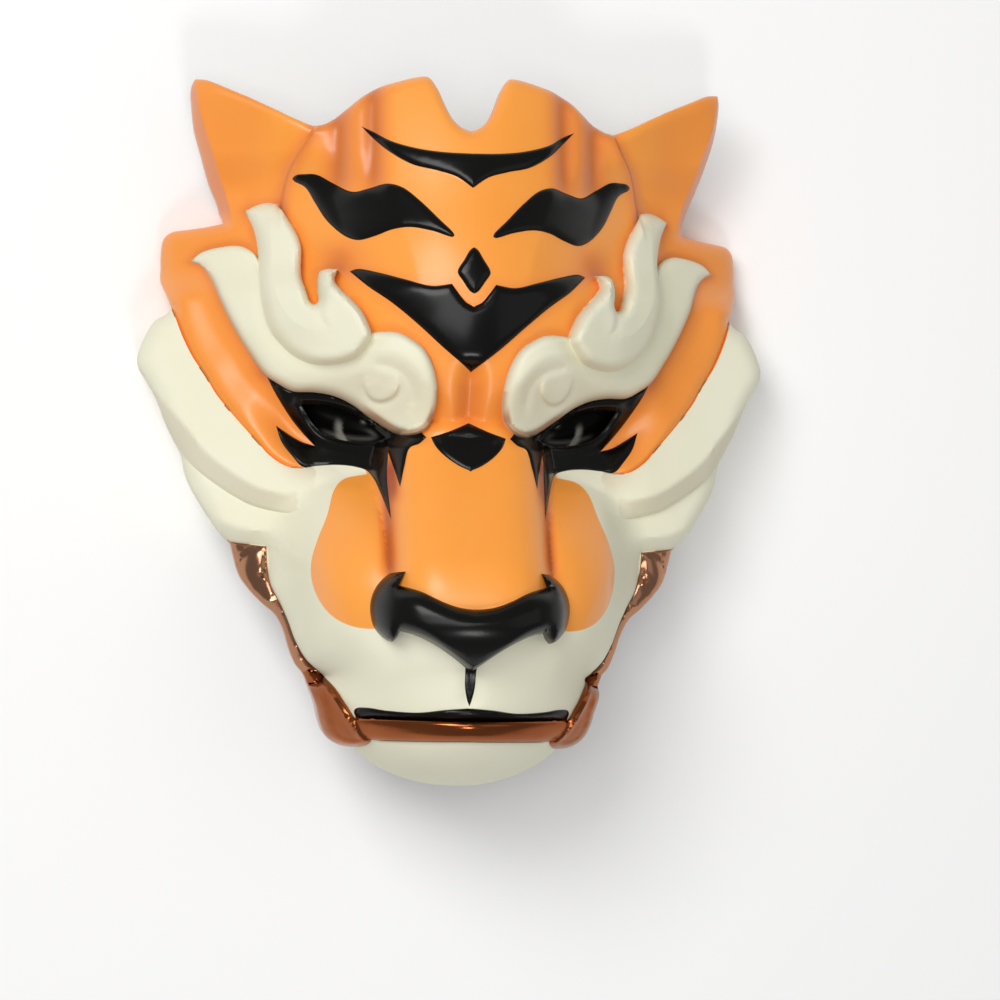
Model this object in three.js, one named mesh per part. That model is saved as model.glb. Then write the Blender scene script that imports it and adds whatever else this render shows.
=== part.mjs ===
// Moulded tiger head mask, lying on its back rim with the face up.
// Millimetres. +Z points out of the face, +Y to the ears, +X to the viewer's right.
// The mask is the same left and right, so every outline is drawn on the +X half.
import * as THREE from 'three';
import { mergeVertices } from 'three/addons/utils/BufferGeometryUtils.js';

const { clamp, lerp, smoothstep } = THREE.MathUtils;

// Driving sizes
const WALL = 4.5;              // thickness of the moulded shell
const FACE_HEIGHT = 90;        // height of the cheek plane over the back rim, at the middle
const SIDE_FALL = 0.0032;      // how fast it falls away sideways
const FOREHEAD_BULGE = 36;
const CROWN_LIFT = 18;         // how far the crown comes forward again at the ears' tips
const EAR_SLANT = 1.9;         // slope of the side of the ear, outside its crease
const MUZZLE_BULGE = 62;
const CHIN_BULGE = 19;
const BRIDGE_TOP = 112;        // height of the nose bridge between the eyes
const BRIDGE_RISE = 0.7;       // how far it rises for each millimetre towards the nose
const BRIDGE_HALF = 33;
const NOSE_HEIGHT = 163.5;
const EYE_HOLLOW = 16;
const RIBBON_LIFT = 9;         // lower layer of the scrolled eyebrow
const FLAME_LIFT = 8;          // upper layer, on top of the lower one
const LOCK_LEVEL = 72;         // height of the upper lock of cheek fur, under the eye
const LOCK_STEP = 11;          // how far the upper lock stands over the lower one
const BAR_LIFT = 4.5;          // the bar and plates under the mouth
const ARM_DROP = 4;            // the arm behind the muzzle lies this far under the cheek plane
const STRIPE_LIFT = 1.7;
const TUCK = 9;                // how far the side walls lean in towards the back rim
const LENS_WALL = 2.5;
const LENS_GAP = 1.2;          // air between a lens and the shell in front of it
const LENS_BULGE = 4.6;        // how far a lens swells into the eye hole
const IRIS_RADIUS = 7.2;
const MIDDLE_Y = 4;            // the drawing's zero line lies this far under the mask's middle
const ON_LINE = 0.15;          // a place this near an outline is on it

const C = 1;                   // third value of a point: the outline has a corner there

// Outlines, seen from the front
const RIM = [
  [0, 138.5, C], [4, 140], [8, 144], [11.5, 151], [14.5, 158.5], [18.5, 164], [23, 164],
  [33, 161.5], [41, 159], [47, 155.5], [55, 149], [61, 144.5], [67, 142], [76, 145], [86, 150],
  [98, 156], [108, 160.5], [117.5, 164.8], [122.8, 165.5, C], [124.4, 162], [123.8, 151],
  [122.6, 143], [119.2, 131.5], [115.4, 119.5], [111, 109], [108.4, 99.5, C], [116, 98],
  [125, 97], [133, 96], [136.5, 93], [138, 87], [138, 80], [137, 73], [134, 66], [131.5, 59.5, C],
  [134, 56.5], [139, 53.5], [142.5, 48.5], [145.5, 41.5], [147, 36], [146, 31], [142.5, 25.5],
  [139, 19.5], [137, 15], [133.5, 6], [129, -3], [126, -9], [124.5, -16.5], [121.5, -24],
  [117, -31.5], [112.8, -38], [108, -44.5], [102.8, -49.5, C], [101.5, -55], [98.6, -64],
  [93.7, -70.7], [88, -76.5], [82, -81.5], [78.4, -88], [75.5, -97], [72.5, -104], [68.8, -108.5],
  [66.5, -114.5], [64, -121.5], [62, -129.5], [58.8, -136], [52.5, -139.8], [46.5, -140.5, C],
  [38, -147.5], [26, -153.3], [13.5, -156.5], [0, -157.5, C],
];
const RIBBON = [
  [123, 81.5, C], [118.5, 85.5], [109, 88], [100, 88], [94, 84], [88, 70], [75, 52], [60, 47],
  [50, 45], [42, 46.7], [33, 46.5], [27.5, 44], [21.5, 39.5], [17, 31.7], [14.7, 21.7],
  [15, 12.2], [17, 6.2], [21, 2.4], [26, 1.2], [31, 2], [35.5, 4.4], [39.2, 6.9], [43.3, 9.7],
  [50, 14.6], [58, 18.5], [66.8, 20.2], [76.7, 20.7], [83.5, 24.2], [89.2, 28.2], [96, 37.5],
  [103, 49], [109, 61], [113.7, 72.7], [118, 79],
];
const FLAME = [
  [98.8, 104.3, C], [94, 107], [88.6, 108.2], [84.4, 107.2, C], [81.8, 103], [78.5, 97.4],
  [75.6, 92], [73.9, 86], [74, 79], [73.9, 72], [72, 65.3], [70.4, 60.5], [68.6, 59.2],
  [67, 60.7], [67.4, 66.6], [67.2, 71.5], [66, 74.6], [62.9, 75.7], [58.4, 75.1, C], [60, 70],
  [57.3, 65.8], [52.4, 60.7], [48.3, 55.8], [45.2, 49.5], [43.8, 44.3], [46.3, 39.9], [50.2, 35],
  [55.6, 32.5], [62.4, 31.5], [69.6, 32.2], [77.4, 36], [83.5, 41.8], [87.9, 47.8], [90.6, 55],
  [92.5, 65], [93, 75], [92.7, 84], [93.8, 92], [95.6, 98],
];
// The black round the eye runs on under the ribbon, whose edge covers it
const EYE_PATCH = [
  [88.5, 28, C], [84, 28], [71, 24], [60, 22], [52, 19], [45, 15], [38, 10], [31, 7], [24, 5.5],
  [18.7, 0.3, C], [22, -2.6], [26, -4.5], [28.6, -13], [30.6, -22, C], [32.7, -14],
  [34.8, -6.5, C], [35.4, -17], [34.4, -36.3, C], [38, -25], [40.6, -18.3], [43, -14.9],
  [48.4, -13.1], [56.8, -12.4], [65.3, -13], [71.3, -13.6], [76.4, -8.5], [81, -2.3],
  [83.6, 5.2, C], [77.4, 1.1], [71.5, -2.2], [65.9, -3.8, C], [71, 1.5], [76, 7.5], [80.2, 13.5],
  [84.6, 20.5],
];
const EYE_HOLE = [
  [72.5, 15, C], [65.6, 14.8], [59, 13.8], [52, 11.6], [46, 8.6], [40, 4.6], [35, 0, C],
  [40, -1.8], [47, -2], [56.5, -0.4], [62.8, 2.2], [67.5, 6.8],
];
const NOSE = [
  [0, -74.6, C], [8, -73.6], [15.6, -70.8], [23.4, -67.2], [32.4, -64.8, C], [29.8, -58.8, C],
  [35.6, -60], [41, -65], [43.8, -71.8], [43.8, -78.5], [42, -84], [37.4, -88.8],
  [34.6, -89.8, C], [32.6, -87.6], [31.5, -85, C], [25.3, -86.4], [16.3, -90.6], [8.4, -95.8],
  [0, -102.5, C],
];
const BIG_STRIPE = [
  [0, 58.2, C], [3.5, 60], [7, 64.2], [9.8, 68.1, C], [18.4, 67], [29.6, 69.9], [41, 73.3],
  [50, 75.3], [53.3, 74.2, C], [45.2, 66.6], [35.4, 59.5], [24, 49.9], [12.5, 39.6], [0, 29.6, C],
];
const SMALL_DIAMOND = [
  [0, 84.6, C], [1.6, 83.6], [4.4, 79], [7.1, 74.6], [7.3, 73], [5, 69.4], [1.7, 64.8],
  [0, 63.9, C],
];
const NOSE_DIAMOND = [
  [0, 7, C], [8.8, 3.1], [16.8, 0.4, C], [15, -3.6], [11, -8], [5, -12.2], [0, -14.4, C],
];
const CRESCENT = [
  [0, 127.6, C], [12, 128], [24, 129.7], [36, 133.5], [43, 138], [48.5, 140.5, C], [42.8, 134.6],
  [36.5, 128.5], [26.5, 122.4], [15.5, 119.5], [7.2, 116.8], [0, 111.8, C],
];
const WAVE = [
  [77.2, 117], [78, 118.4], [76.4, 119.8], [73, 120], [67.8, 119.6], [60.4, 115.5], [52, 110.8],
  [45.2, 112], [37.6, 113.8], [31, 112], [23.2, 105.6], [15.5, 97.6], [8.7, 90.3], [8.9, 89.1],
  [18.7, 91.9], [27.7, 93.5], [35.4, 92.6], [43, 89.8], [49.8, 88.4], [55.2, 90.5], [62.8, 97.8],
  [68, 106.5], [72.3, 114],
];
// The lip runs on under the bar
const LIP = [
  [0, -118.4, C], [10, -119.3], [22, -121], [35, -120.9], [43, -120.2], [47.5, -120.8],
  [48.4, -122.4], [47, -126, C], [20, -126], [0, -126, C],
];
const BAR = [
  [0, -123.8, C], [20, -124], [40, -124.6], [50, -125.2, C], [54, -134, C], [42, -135.4, C],
  [20, -134.2], [0, -133.6, C],
];
// A plate at each corner of the mouth reaches over the rim
const PLATE = [
  [60.8, -107.8, C], [56.2, -112.6], [52.2, -118.6], [48, -125], [43.6, -131], [40.2, -135.6],
  [42.5, -138.6], [46, -140], [52, -141], [60, -142, C], [72, -136, C], [74, -112, C],
  [67, -106, C],
];
// The arm behind the muzzle. Its outer side runs past the rim, where there is no edge.
const ARM = [
  [107, -46.5, C], [102, -48.6], [95.4, -49.4], [86.8, -50.2, C], [86.2, -58.8], [84.4, -67.9],
  [80.2, -76], [76.4, -84.1], [72.9, -93.2], [68.1, -101.3], [63.3, -105.8], [60, -108.6, C],
  [64, -112, C], [90, -122, C], [130, -80, C], [120, -52, C],
];
// Lines that don't close: the lower edge of the temple band, the foot of the upper lock of cheek
// fur, where the lower lock breaks downwards, the fold of the eyebrow's upper layer, and the fold
// between the forehead and the ear
const BAND_EDGE = [
  [145, 63, C], [131.5, 59.5, C], [126.5, 46], [121.5, 36], [116, 28], [111, 19.5], [105, 12],
  [98.5, 4.5], [92.5, -2], [86, -9], [78.5, -13.5], [71.5, -14], [64, -14.2], [55, -14.6],
];
const LOCK_FOOT = [
  [152, 26], [144, 13.5], [135.5, 3.5], [128, -5], [124, -10.5], [119, -15.5], [111.5, -21.3],
  [102.4, -27.2], [95, -31], [85.4, -33.6], [78, -34.6], [72, -33], [65, -29.5],
];
const LOCK_BREAK = [
  [128, -20], [121, -27], [114, -34], [107.5, -38.8], [99, -42], [90, -43], [83, -42.2],
  [74, -38],
];
const FLAME_FOLD = [
  [88.9, 110], [87.7, 89.3], [87.4, 74.6], [84.9, 61.6], [78.5, 51.8], [70.3, 47.2], [58, 49],
];
const EAR_FOLD = [
  [62, 154], [68, 142], [73, 133], [78, 125], [81, 116], [82.5, 106], [85, 92],
];
const EAR_SIDE = [
  [122.8, 165], [120.6, 152], [117.6, 142], [113.8, 131], [110, 119.5], [106.2, 109], [104, 98],
];
// The lens behind the eye hole reaches past the hole all round
const LENS = [
  [80, 19], [66, 21.5], [48, 18], [35, 11], [27.5, 1], [34, -7.5], [52, -8.5], [68, -3.5],
  [79, 7],
];
const IRIS = [45.5, 5];

const NOSE_TOP = [0, -80.9];   // the highest place of the mask
const RIM_STEP = 4.9;
const FINE = 2.5;              // step of the outlines that distances are measured to

// A smooth line through the points, broken at corners, in steps of about the given length
function drawLine(points, step, closed = true) {
  const line = closed ? [...points, points[0]] : points;
  const stops = line.map((p, i) => (i === 0 || i === line.length - 1 || p[2] === C ? i : -1))
    .filter((i) => i >= 0);
  const drawn = [];
  for (let k = 0; k + 1 < stops.length; k++) {
    const run = line.slice(stops[k], stops[k + 1] + 1).map((p) => new THREE.Vector3(p[0], p[1], 0));
    const curve = run.length === 2
      ? new THREE.LineCurve3(run[0], run[1])
      : new THREE.CatmullRomCurve3(run, false, 'centripetal');
    const count = Math.max(1, Math.round(curve.getLength() / step));
    const places = curve.getSpacedPoints(count);
    drawn.push(...places.slice(0, -1).map((p) => [p.x, p.y]));
    if (!closed && k + 2 === stops.length) drawn.push([places[count].x, places[count].y]);
  }
  return drawn;
}

function segmentDistance(p, q, x, y) {
  const dx = q[0] - p[0];
  const dy = q[1] - p[1];
  const t = clamp(((x - p[0]) * dx + (y - p[1]) * dy) / (dx * dx + dy * dy), 0, 1);
  return Math.hypot(x - p[0] - t * dx, y - p[1] - t * dy);
}

function isInside(outline, x, y) {
  let inside = false;
  for (let i = 0, k = outline.length - 1; i < outline.length; k = i++) {
    const [p, q] = [outline[k], outline[i]];
    if ((p[1] > y) !== (q[1] > y) && x < p[0] + ((y - p[1]) / (q[1] - p[1])) * (q[0] - p[0])) {
      inside = !inside;
    }
  }
  return inside;
}

// A closed outline as a function of a place: the distance to it, positive inside. The side of a
// half outline that lies on the middle line is no edge.
function region(points, reach = 12) {
  const outline = drawLine(points, FINE);
  const xs = outline.map((p) => p[0]);
  const ys = outline.map((p) => p[1]);
  const box = [Math.min(...xs), Math.max(...xs), Math.min(...ys), Math.max(...ys)];
  const sides = outline.map((p, i) => [p, outline[(i + 1) % outline.length]])
    .filter(([p, q]) => Math.abs(p[0]) > 1e-6 || Math.abs(q[0]) > 1e-6);
  return (x, y) => {
    const away = Math.max(box[0] - x, x - box[1], box[2] - y, y - box[3]);
    if (away > reach) return -away;
    const nearest = Math.min(...sides.map(([p, q]) => segmentDistance(p, q, x, y)));
    return isInside(outline, x, y) ? nearest : -nearest;
  };
}

// An open line as a function of a place: the distance to it, positive on its left as it runs,
// and how far along it the nearest place is, from 0 to 1
function besideLine(points) {
  const line = drawLine(points, FINE, false);
  return (x, y) => {
    let nearest = Infinity;
    let at = 0;
    for (let i = 0; i + 1 < line.length; i++) {
      const d = segmentDistance(line[i], line[i + 1], x, y);
      if (d < nearest - 1e-9) [nearest, at] = [d, i];
    }
    const [p, q] = [line[at], line[at + 1]];
    const left = (q[0] - p[0]) * (y - p[1]) - (q[1] - p[1]) * (x - p[0]) > 0;
    return { d: left ? nearest : -nearest, along: (at + 0.5) / (line.length - 1) };
  };
}

const inRim = region(RIM);
const inRibbon = region(RIBBON);
const inFlame = region(FLAME);
const inPatch = region(EYE_PATCH);
const inHole = region(EYE_HOLE);
const inNose = region(NOSE);
const inArm = region(ARM, 30);
const inBar = region(BAR);
const inPlate = region(PLATE);
const inLip = region(LIP);
const inStripes = [BIG_STRIPE, SMALL_DIAMOND, NOSE_DIAMOND, CRESCENT, WAVE].map((p) => region(p));
const atBand = besideLine(BAND_EDGE);
const atLock = besideLine(LOCK_FOOT);
const atBreak = besideLine(LOCK_BREAK);
const atFold = besideLine(FLAME_FOLD);
const atEar = besideLine(EAR_FOLD);
const atEarSide = besideLine(EAR_SIDE);

const bell = (t) => Math.exp(-t * t);
const swell = (t, power) => (t < 1 ? (1 - t * t) ** power : 0);
// A rounded step: 0 at an outline, 1 from the given width inwards
const shoulder = (d, width) => (d <= 0 ? 0 : d >= width ? 1 : Math.sqrt(1 - (1 - d / width) ** 2));

const endsOf = (along) => smoothstep(along, 0, 0.25) * (1 - smoothstep(along, 0.75, 1));

// 1 on the arm, down to 0 a little way off it
const byArm = (a, y) => 1 - smoothstep(-inArm(a, y), 0, 14);

// How far in from the rim the surface turns down, and how deep the wall under the rim is
function rimTurn(a, y) {
  const ear = smoothstep(a, 64, 72) * smoothstep(y, 98, 108);
  const top = smoothstep(y, 110, 125);
  const jaw = 1 - smoothstep(y, -56, -36);
  const plate = 1 - smoothstep(y, -113, -105);
  const arm = byArm(a, y);
  const turn = (side, above, lobe, cheek, low, strip) =>
    lerp(lerp(lerp(lerp(lerp(side, above, top), lobe, ear), cheek, jaw), low, plate), strip, arm);
  return { radius: turn(8, 5, 4.6, 6, 15, 4), wall: turn(90, 9, 5, 10, 20, 10) };
}

function dome(a, y) {
  const forehead = FOREHEAD_BULGE * swell(Math.hypot(a / 100, (y - 68) / 100), 1.3);
  const crown = CROWN_LIFT * smoothstep(y, 100, 172);
  return FACE_HEIGHT - SIDE_FALL * a * a - 0.0008 * (y - 10) ** 2 + forehead + crown;
}

// The face without its applied carving
function face(a, y) {
  let z = dome(a, y);
  z += MUZZLE_BULGE * swell(Math.hypot(a / 122, (y + 88) / 78), 1.2);
  z += CHIN_BULGE * swell(Math.hypot(a / 62, (y + 144) / 44), 2);
  z += 8 * swell(Math.hypot((a - 53) / 28, (y + 50) / 44), 1.8);
  z -= EYE_HOLLOW * swell(Math.hypot((a - 52) / 48, (y - 6) / 30), 2);
  z -= 6 * swell(Math.hypot((a - 100) / 30, (y - 128) / 36), 1.5);
  z -= 3 * smoothstep(y, 104, 124) * (bell((a - 43) / 4.5) + bell((a - 58) / 4.5));
  const crown = smoothstep(y, 62, 80) * (1 - smoothstep(y, 112, 132));
  z -= crown * (0.02 * a + 0.25 * clamp(a - 27 - 0.3 * (y - 79), 0, 25));
  const ear = atEar(a, y);
  const step = 2 * smoothstep(ear.d, -0.9, 0.9) - 1;
  z -= 2.4 * endsOf(ear.along) * step * bell(ear.d / (ear.d > 0 ? 9 : 5));
  z -= EAR_SLANT * smoothstep(y, 98, 106) * clamp(atEarSide(a, y).d, 0, 8);
  z -= 4.5 * bell(a / 5) * smoothstep(y, 0, 8) * (1 - smoothstep(y, 26, 38));
  z -= 2 * bell(a / 4.5) * smoothstep(-y, 98, 103) * (1 - smoothstep(-y, 114, 121));
  if (y < 20 && y > -80) {
    const across = Math.min(2, a / Math.max(BRIDGE_HALF - 0.9 * Math.max(0, y + 4), 10));
    const ahead = clamp(-y, 0, 80);
    const bridge = BRIDGE_TOP + BRIDGE_RISE * (ahead - Math.max(0, ahead - 52) ** 2 / 40);
    z = Math.max(z, bridge - 15 * across ** 4 - 12 * smoothstep(y, 2, 20));
  }
  return z - 3.5 * bell((a - 35.5) / 3) * smoothstep(-y, 8, 20) * (1 - smoothstep(-y, 52, 62));
}

// How much the temple band and the locks of fur below it stand above the face there. The locks
// are flat planes that step down, each with a slanting face along its lower edge.
function fur(a, y) {
  const under = atBand(a, y).d;
  const fade = 1 - smoothstep(y, 84, 100);
  if (under < 0) {
    const band = 3.5 * shoulder(-under, 2.5) - 5 * smoothstep(-under, 2, 17);
    return fade * smoothstep(a, 66, 80) * band;
  }
  const outwards = 0.81 * (a - 78.5) - 0.59 * (y + 13.5);
  const upwards = 0.59 * (a - 78.5) + 0.81 * (y + 13.5);
  const above = -atLock(a, y).d;
  const past = atBreak(a, y);
  let drop = 0.85 * (1 - clamp(above / 8.5, 0, 1)) + 0.15 * (1 - shoulder(above, 1.2));
  drop = LOCK_STEP * drop + 0.1 * Math.max(0, -above);
  drop += 0.9 * clamp(past.d, 0, 10) * (1 - smoothstep(past.along, 0.7, 0.95));
  const locks = LOCK_LEVEL - 0.39 * upwards - 0.1 * outwards - drop - face(a, y);
  return fade * smoothstep(a, 62, 90) * locks;
}

// The arm beside the muzzle, with the oval boss at its upper end
function strip(a, y) {
  const across = (a - 93.5) * 0.94 + (y + 60.5) * 0.34;
  const along = (y + 60.5) * 0.94 - (a - 93.5) * 0.34;
  const boss = 3 * swell(Math.hypot(across / 5.6, along / 10), 0.7);
  return dome(a, y) - ARM_DROP + 2 * shoulder(inArm(a, y), 3) + boss;
}

// The moulded form as it is cast, with the eyebrows, nose, mouth and arms, but no stripes
function form(a, y) {
  const { radius } = rimTurn(a, y);
  const turned = radius * (1 - shoulder(Math.max(0, inRim(a, y)), radius));
  const arm = inArm(a, y);
  const bar = inBar(a, y);
  const plate = inPlate(a, y);
  if (arm >= -ON_LINE && plate <= 0) return strip(a, y) - turned;
  let z = face(a, y) + fur(a, y);
  z = lerp(Math.min(z, dome(a, y) - ARM_DROP), z,
    shoulder(-arm, lerp(9, 26, smoothstep(-y, 50, 62))));
  const plain = z;
  z += RIBBON_LIFT * lerp(1, 0.55, smoothstep(a, 90, 120)) * shoulder(inRibbon(a, y), 4.5);
  const flame = inFlame(a, y);
  if (flame > 0) {
    const tip = lerp(1, 0.6, smoothstep(y, 66, 104));
    const fold = atFold(a, y);
    const crest = 2.2 * endsOf(fold.along) * Math.max(0, 1 - Math.abs(fold.d) / (fold.d > 0 ? 7 : 11));
    z = Math.max(z, plain + (RIBBON_LIFT + FLAME_LIFT) * tip * shoulder(flame, 5)
      + smoothstep(flame, 0, 4) * crest);
  }
  const nose = inNose(a, y);
  if (nose > 0) {
    const top = NOSE_HEIGHT - 0.006 * a * a - 0.03 * Math.max(0, a - 24) ** 2
      - (y < -80 ? 0.035 : 0.02) * (y + 80) ** 2;
    z = lerp(z, Math.max(top, z + 2), shoulder(nose, lerp(2.8, 7, smoothstep(y, -92, -76))));
  }
  if (bar < ON_LINE) z -= 2.5 * (1 - shoulder(-bar, 3.5)) * smoothstep(-plate, 0, 6);
  z += BAR_LIFT * Math.max(shoulder(bar, 4), 1.2 * shoulder(plate, 3.5));
  return z - turned;
}

// Front of the shell, with the raised stripes and the lids round the eye hole
function front(a, y) {
  const free = Math.min(1, Math.max(0, -inRibbon(a, y)) / 0.6);
  const patch = inPatch(a, y);
  let z = form(a, y) + free * STRIPE_LIFT * shoulder(patch, 3);
  if (patch > 0) z += free * 1.6 * bell((inHole(a, y) + 2.4) / 1.6);
  inStripes.forEach((inStripe) => { z += STRIPE_LIFT * shoulder(inStripe(a, y), 3.6); });
  if (Math.max(inBar(a, y), inPlate(a, y)) <= 0) z += STRIPE_LIFT * shoulder(inLip(a, y), 2);
  return z;
}

// Underside of the rim
function rimFoot(a, y) {
  const { radius, wall } = rimTurn(a, y);
  const level = lerp(face(a, y), dome(a, y) - ARM_DROP, byArm(a, y));
  return Math.max(0, level - radius - wall);
}

// The hollow back, one wall thickness from the nearest place on the front
function hollow(a, y) {
  let z = form(a, y) - WALL;
  [0.5, 0.87, 1].forEach((part) => {
    const r = WALL * part;
    for (let k = 0; k < 12; k++) {
      const turn = (k * Math.PI) / 6;
      const at = form(Math.abs(a + r * Math.cos(turn)), y + r * Math.sin(turn));
      z = Math.min(z, at - Math.sqrt(WALL * WALL - r * r));
    }
  });
  return z;
}

function back(a, y) {
  const foot = rimFoot(a, y);
  return inRim(a, y) < WALL - 0.5 ? foot : Math.max(foot + 0.5, hollow(a, y));
}

// The side walls lean in towards the back rim
function tucked([x, y, z]) {
  const a = Math.abs(x);
  const level = Math.max(10, dome(a, y) - 12);
  const lean = TUCK * smoothstep(a, 84, 118) * smoothstep(y, -60, -40) * (1 - smoothstep(y, 92, 108));
  return [x - Math.sign(x) * lean * Math.max(0, 1 - z / level) ** 2, y, z];
}

// Triangles over points in the plane, with no point inside the circle of any of them. Each new
// point replaces the triangles whose circle it falls in.
function triangulate(points) {
  const far = 1e4;
  const all = [...points, [-far, -far], [far, -far], [0, far]];
  const n = points.length;
  const circle = (i, j, k) => {
    const [ax, ay] = all[i];
    const [bx, by] = [all[j][0] - ax, all[j][1] - ay];
    const [cx, cy] = [all[k][0] - ax, all[k][1] - ay];
    const d = 2 * (bx * cy - by * cx);
    const ux = (cy * (bx * bx + by * by) - by * (cx * cx + cy * cy)) / d;
    const uy = (bx * (cx * cx + cy * cy) - cx * (bx * bx + by * by)) / d;
    return { t: [i, j, k], x: ax + ux, y: ay + uy, r: ux * ux + uy * uy };
  };
  let found = [circle(n, n + 1, n + 2)];
  points.forEach(([x, y], i) => {
    const hit = [];
    const kept = [];
    found.forEach((c) => ((x - c.x) ** 2 + (y - c.y) ** 2 < c.r ? hit : kept).push(c));
    const edges = new Map();
    hit.forEach(({ t }) => [[0, 1], [1, 2], [2, 0]].forEach(([u, v]) => {
      const opposite = `${t[v]},${t[u]}`;
      if (edges.has(opposite)) edges.delete(opposite);
      else edges.set(`${t[u]},${t[v]}`, [t[u], t[v]]);
    }));
    found = kept;
    edges.forEach(([u, v]) => found.push(circle(u, v, i)));
  });
  return found.map((c) => c.t).filter((t) => t.every((i) => i < n));
}

// Points beside a closed line, the given distance to its left
function beside(line, offset) {
  return line.map((p, i) => {
    const q = line[(i + 1) % line.length];
    const o = line[(i + line.length - 1) % line.length];
    const [dx, dy] = [q[0] - o[0], q[1] - o[1]];
    const long = Math.hypot(dx, dy) || 1;
    return [p[0] - (dy / long) * offset, p[1] + (dx / long) * offset];
  });
}

// Points for one surface: first the fixed ones, then those beside the outlines, then a field of
// points in staggered rows. A point too near an earlier one is left out.
function spread(fixed, loose, pitch, domain) {
  const points = [];
  const add = (x, y, gap) => {
    if (x < -1e-6 || points.some((p) => Math.hypot(p[0] - x, p[1] - y) < gap)) return;
    points.push([Math.abs(x) < 0.4 ? 0 : x, y]);
  };
  fixed.forEach((line) => line.forEach(([x, y]) => add(x, y, 0.9)));
  loose.forEach(({ line, gap }) => line.forEach(([x, y]) => domain(x, y) && add(x, y, gap)));
  for (let row = 0; row * pitch * 0.866 < 340; row++) {
    for (let x = row % 2 ? pitch / 2 : 0; x < 150; x += pitch) {
      const y = -165 + row * pitch * 0.866;
      if (domain(x, y)) add(x, y, pitch * 0.62);
    }
  }
  return points;
}

// A closed solid between two surfaces over one outline, on one side or both. Holes are cut
// right through it. Each surface is its points and its height at a place.
function moulding({ rim, holes, top, foot, sides }) {
  const kept = (points, t) => {
    const x = (points[t[0]][0] + points[t[1]][0] + points[t[2]][0]) / 3;
    const y = (points[t[0]][1] + points[t[1]][1] + points[t[2]][1]) / 3;
    return isInside(rim, x, y) && !holes.some((hole) => isInside(hole, x, y));
  };
  const vertices = [];
  const numbers = new Map();
  const number = (corner) => {
    const name = corner.map((v) => v.toFixed(4)).join();
    if (!numbers.has(name)) {
      numbers.set(name, vertices.length / 3);
      vertices.push(...tucked(corner));
    }
    return numbers.get(name);
  };
  const faces = [];
  const addFace = (corners) => sides.forEach((side) => {
    const ids = corners.map(([x, y, z]) => number([x === 0 ? 0 : side * x, y, z]));
    if (new Set(ids).size === 3) faces.push(side > 0 ? ids : ids.reverse());
  });
  const surface = ({ points, height }, up) => {
    const lifted = points.map(([x, y]) => [x, y, height(x, y)]);
    const open = new Map();
    triangulate(points).filter((t) => kept(points, t)).forEach((t) => {
      const [p, q, r] = t.map((i) => points[i]);
      const turns = (q[0] - p[0]) * (r[1] - p[1]) - (q[1] - p[1]) * (r[0] - p[0]) > 0;
      const order = turns ? t : [t[0], t[2], t[1]];
      order.forEach((i, k) => {
        const j = order[(k + 1) % 3];
        if (open.has(`${j},${i}`)) open.delete(`${j},${i}`);
        else open.set(`${i},${j}`, [lifted[i], lifted[j]]);
      });
      addFace((up ? order : [...order].reverse()).map((i) => lifted[i]));
    });
    return [...open.values()].filter(([p, q]) => p[0] !== 0 || q[0] !== 0);
  };
  const place = ([x, y]) => `${x.toFixed(4)},${y.toFixed(4)}`;
  const edges = surface(top, true);
  const feet = new Map(surface(foot, false).flat().map((p) => [place(p), p]));
  edges.forEach(([p, q]) => {
    const [u, v] = [feet.get(place(p)), feet.get(place(q))];
    if (!u || !v) throw new Error(`the back has no edge at ${place(u ? q : p)}`);
    const [m, n] = [[p, u], [q, v]].map(([s, t]) => [s[0], s[1], (s[2] + t[2]) / 2]);
    addFace([p, m, q]);
    addFace([q, m, n]);
    addFace([m, u, n]);
    addFace([n, u, v]);
  });
  const geometry = new THREE.BufferGeometry();
  geometry.setAttribute('position', new THREE.Float32BufferAttribute(vertices, 3));
  geometry.setIndex(faces.flat());
  return mergeVertices(geometry, 1e-4);
}

// Shell and lenses
const rimLine = drawLine(RIM, RIM_STEP);
const holeLine = drawLine(EYE_HOLE, 4.5);
const lensLine = drawLine(LENS, 5);
const lensPoints = spread([lensLine, holeLine], [], 5, (x, y) => isInside(lensLine, x, y));

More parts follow.
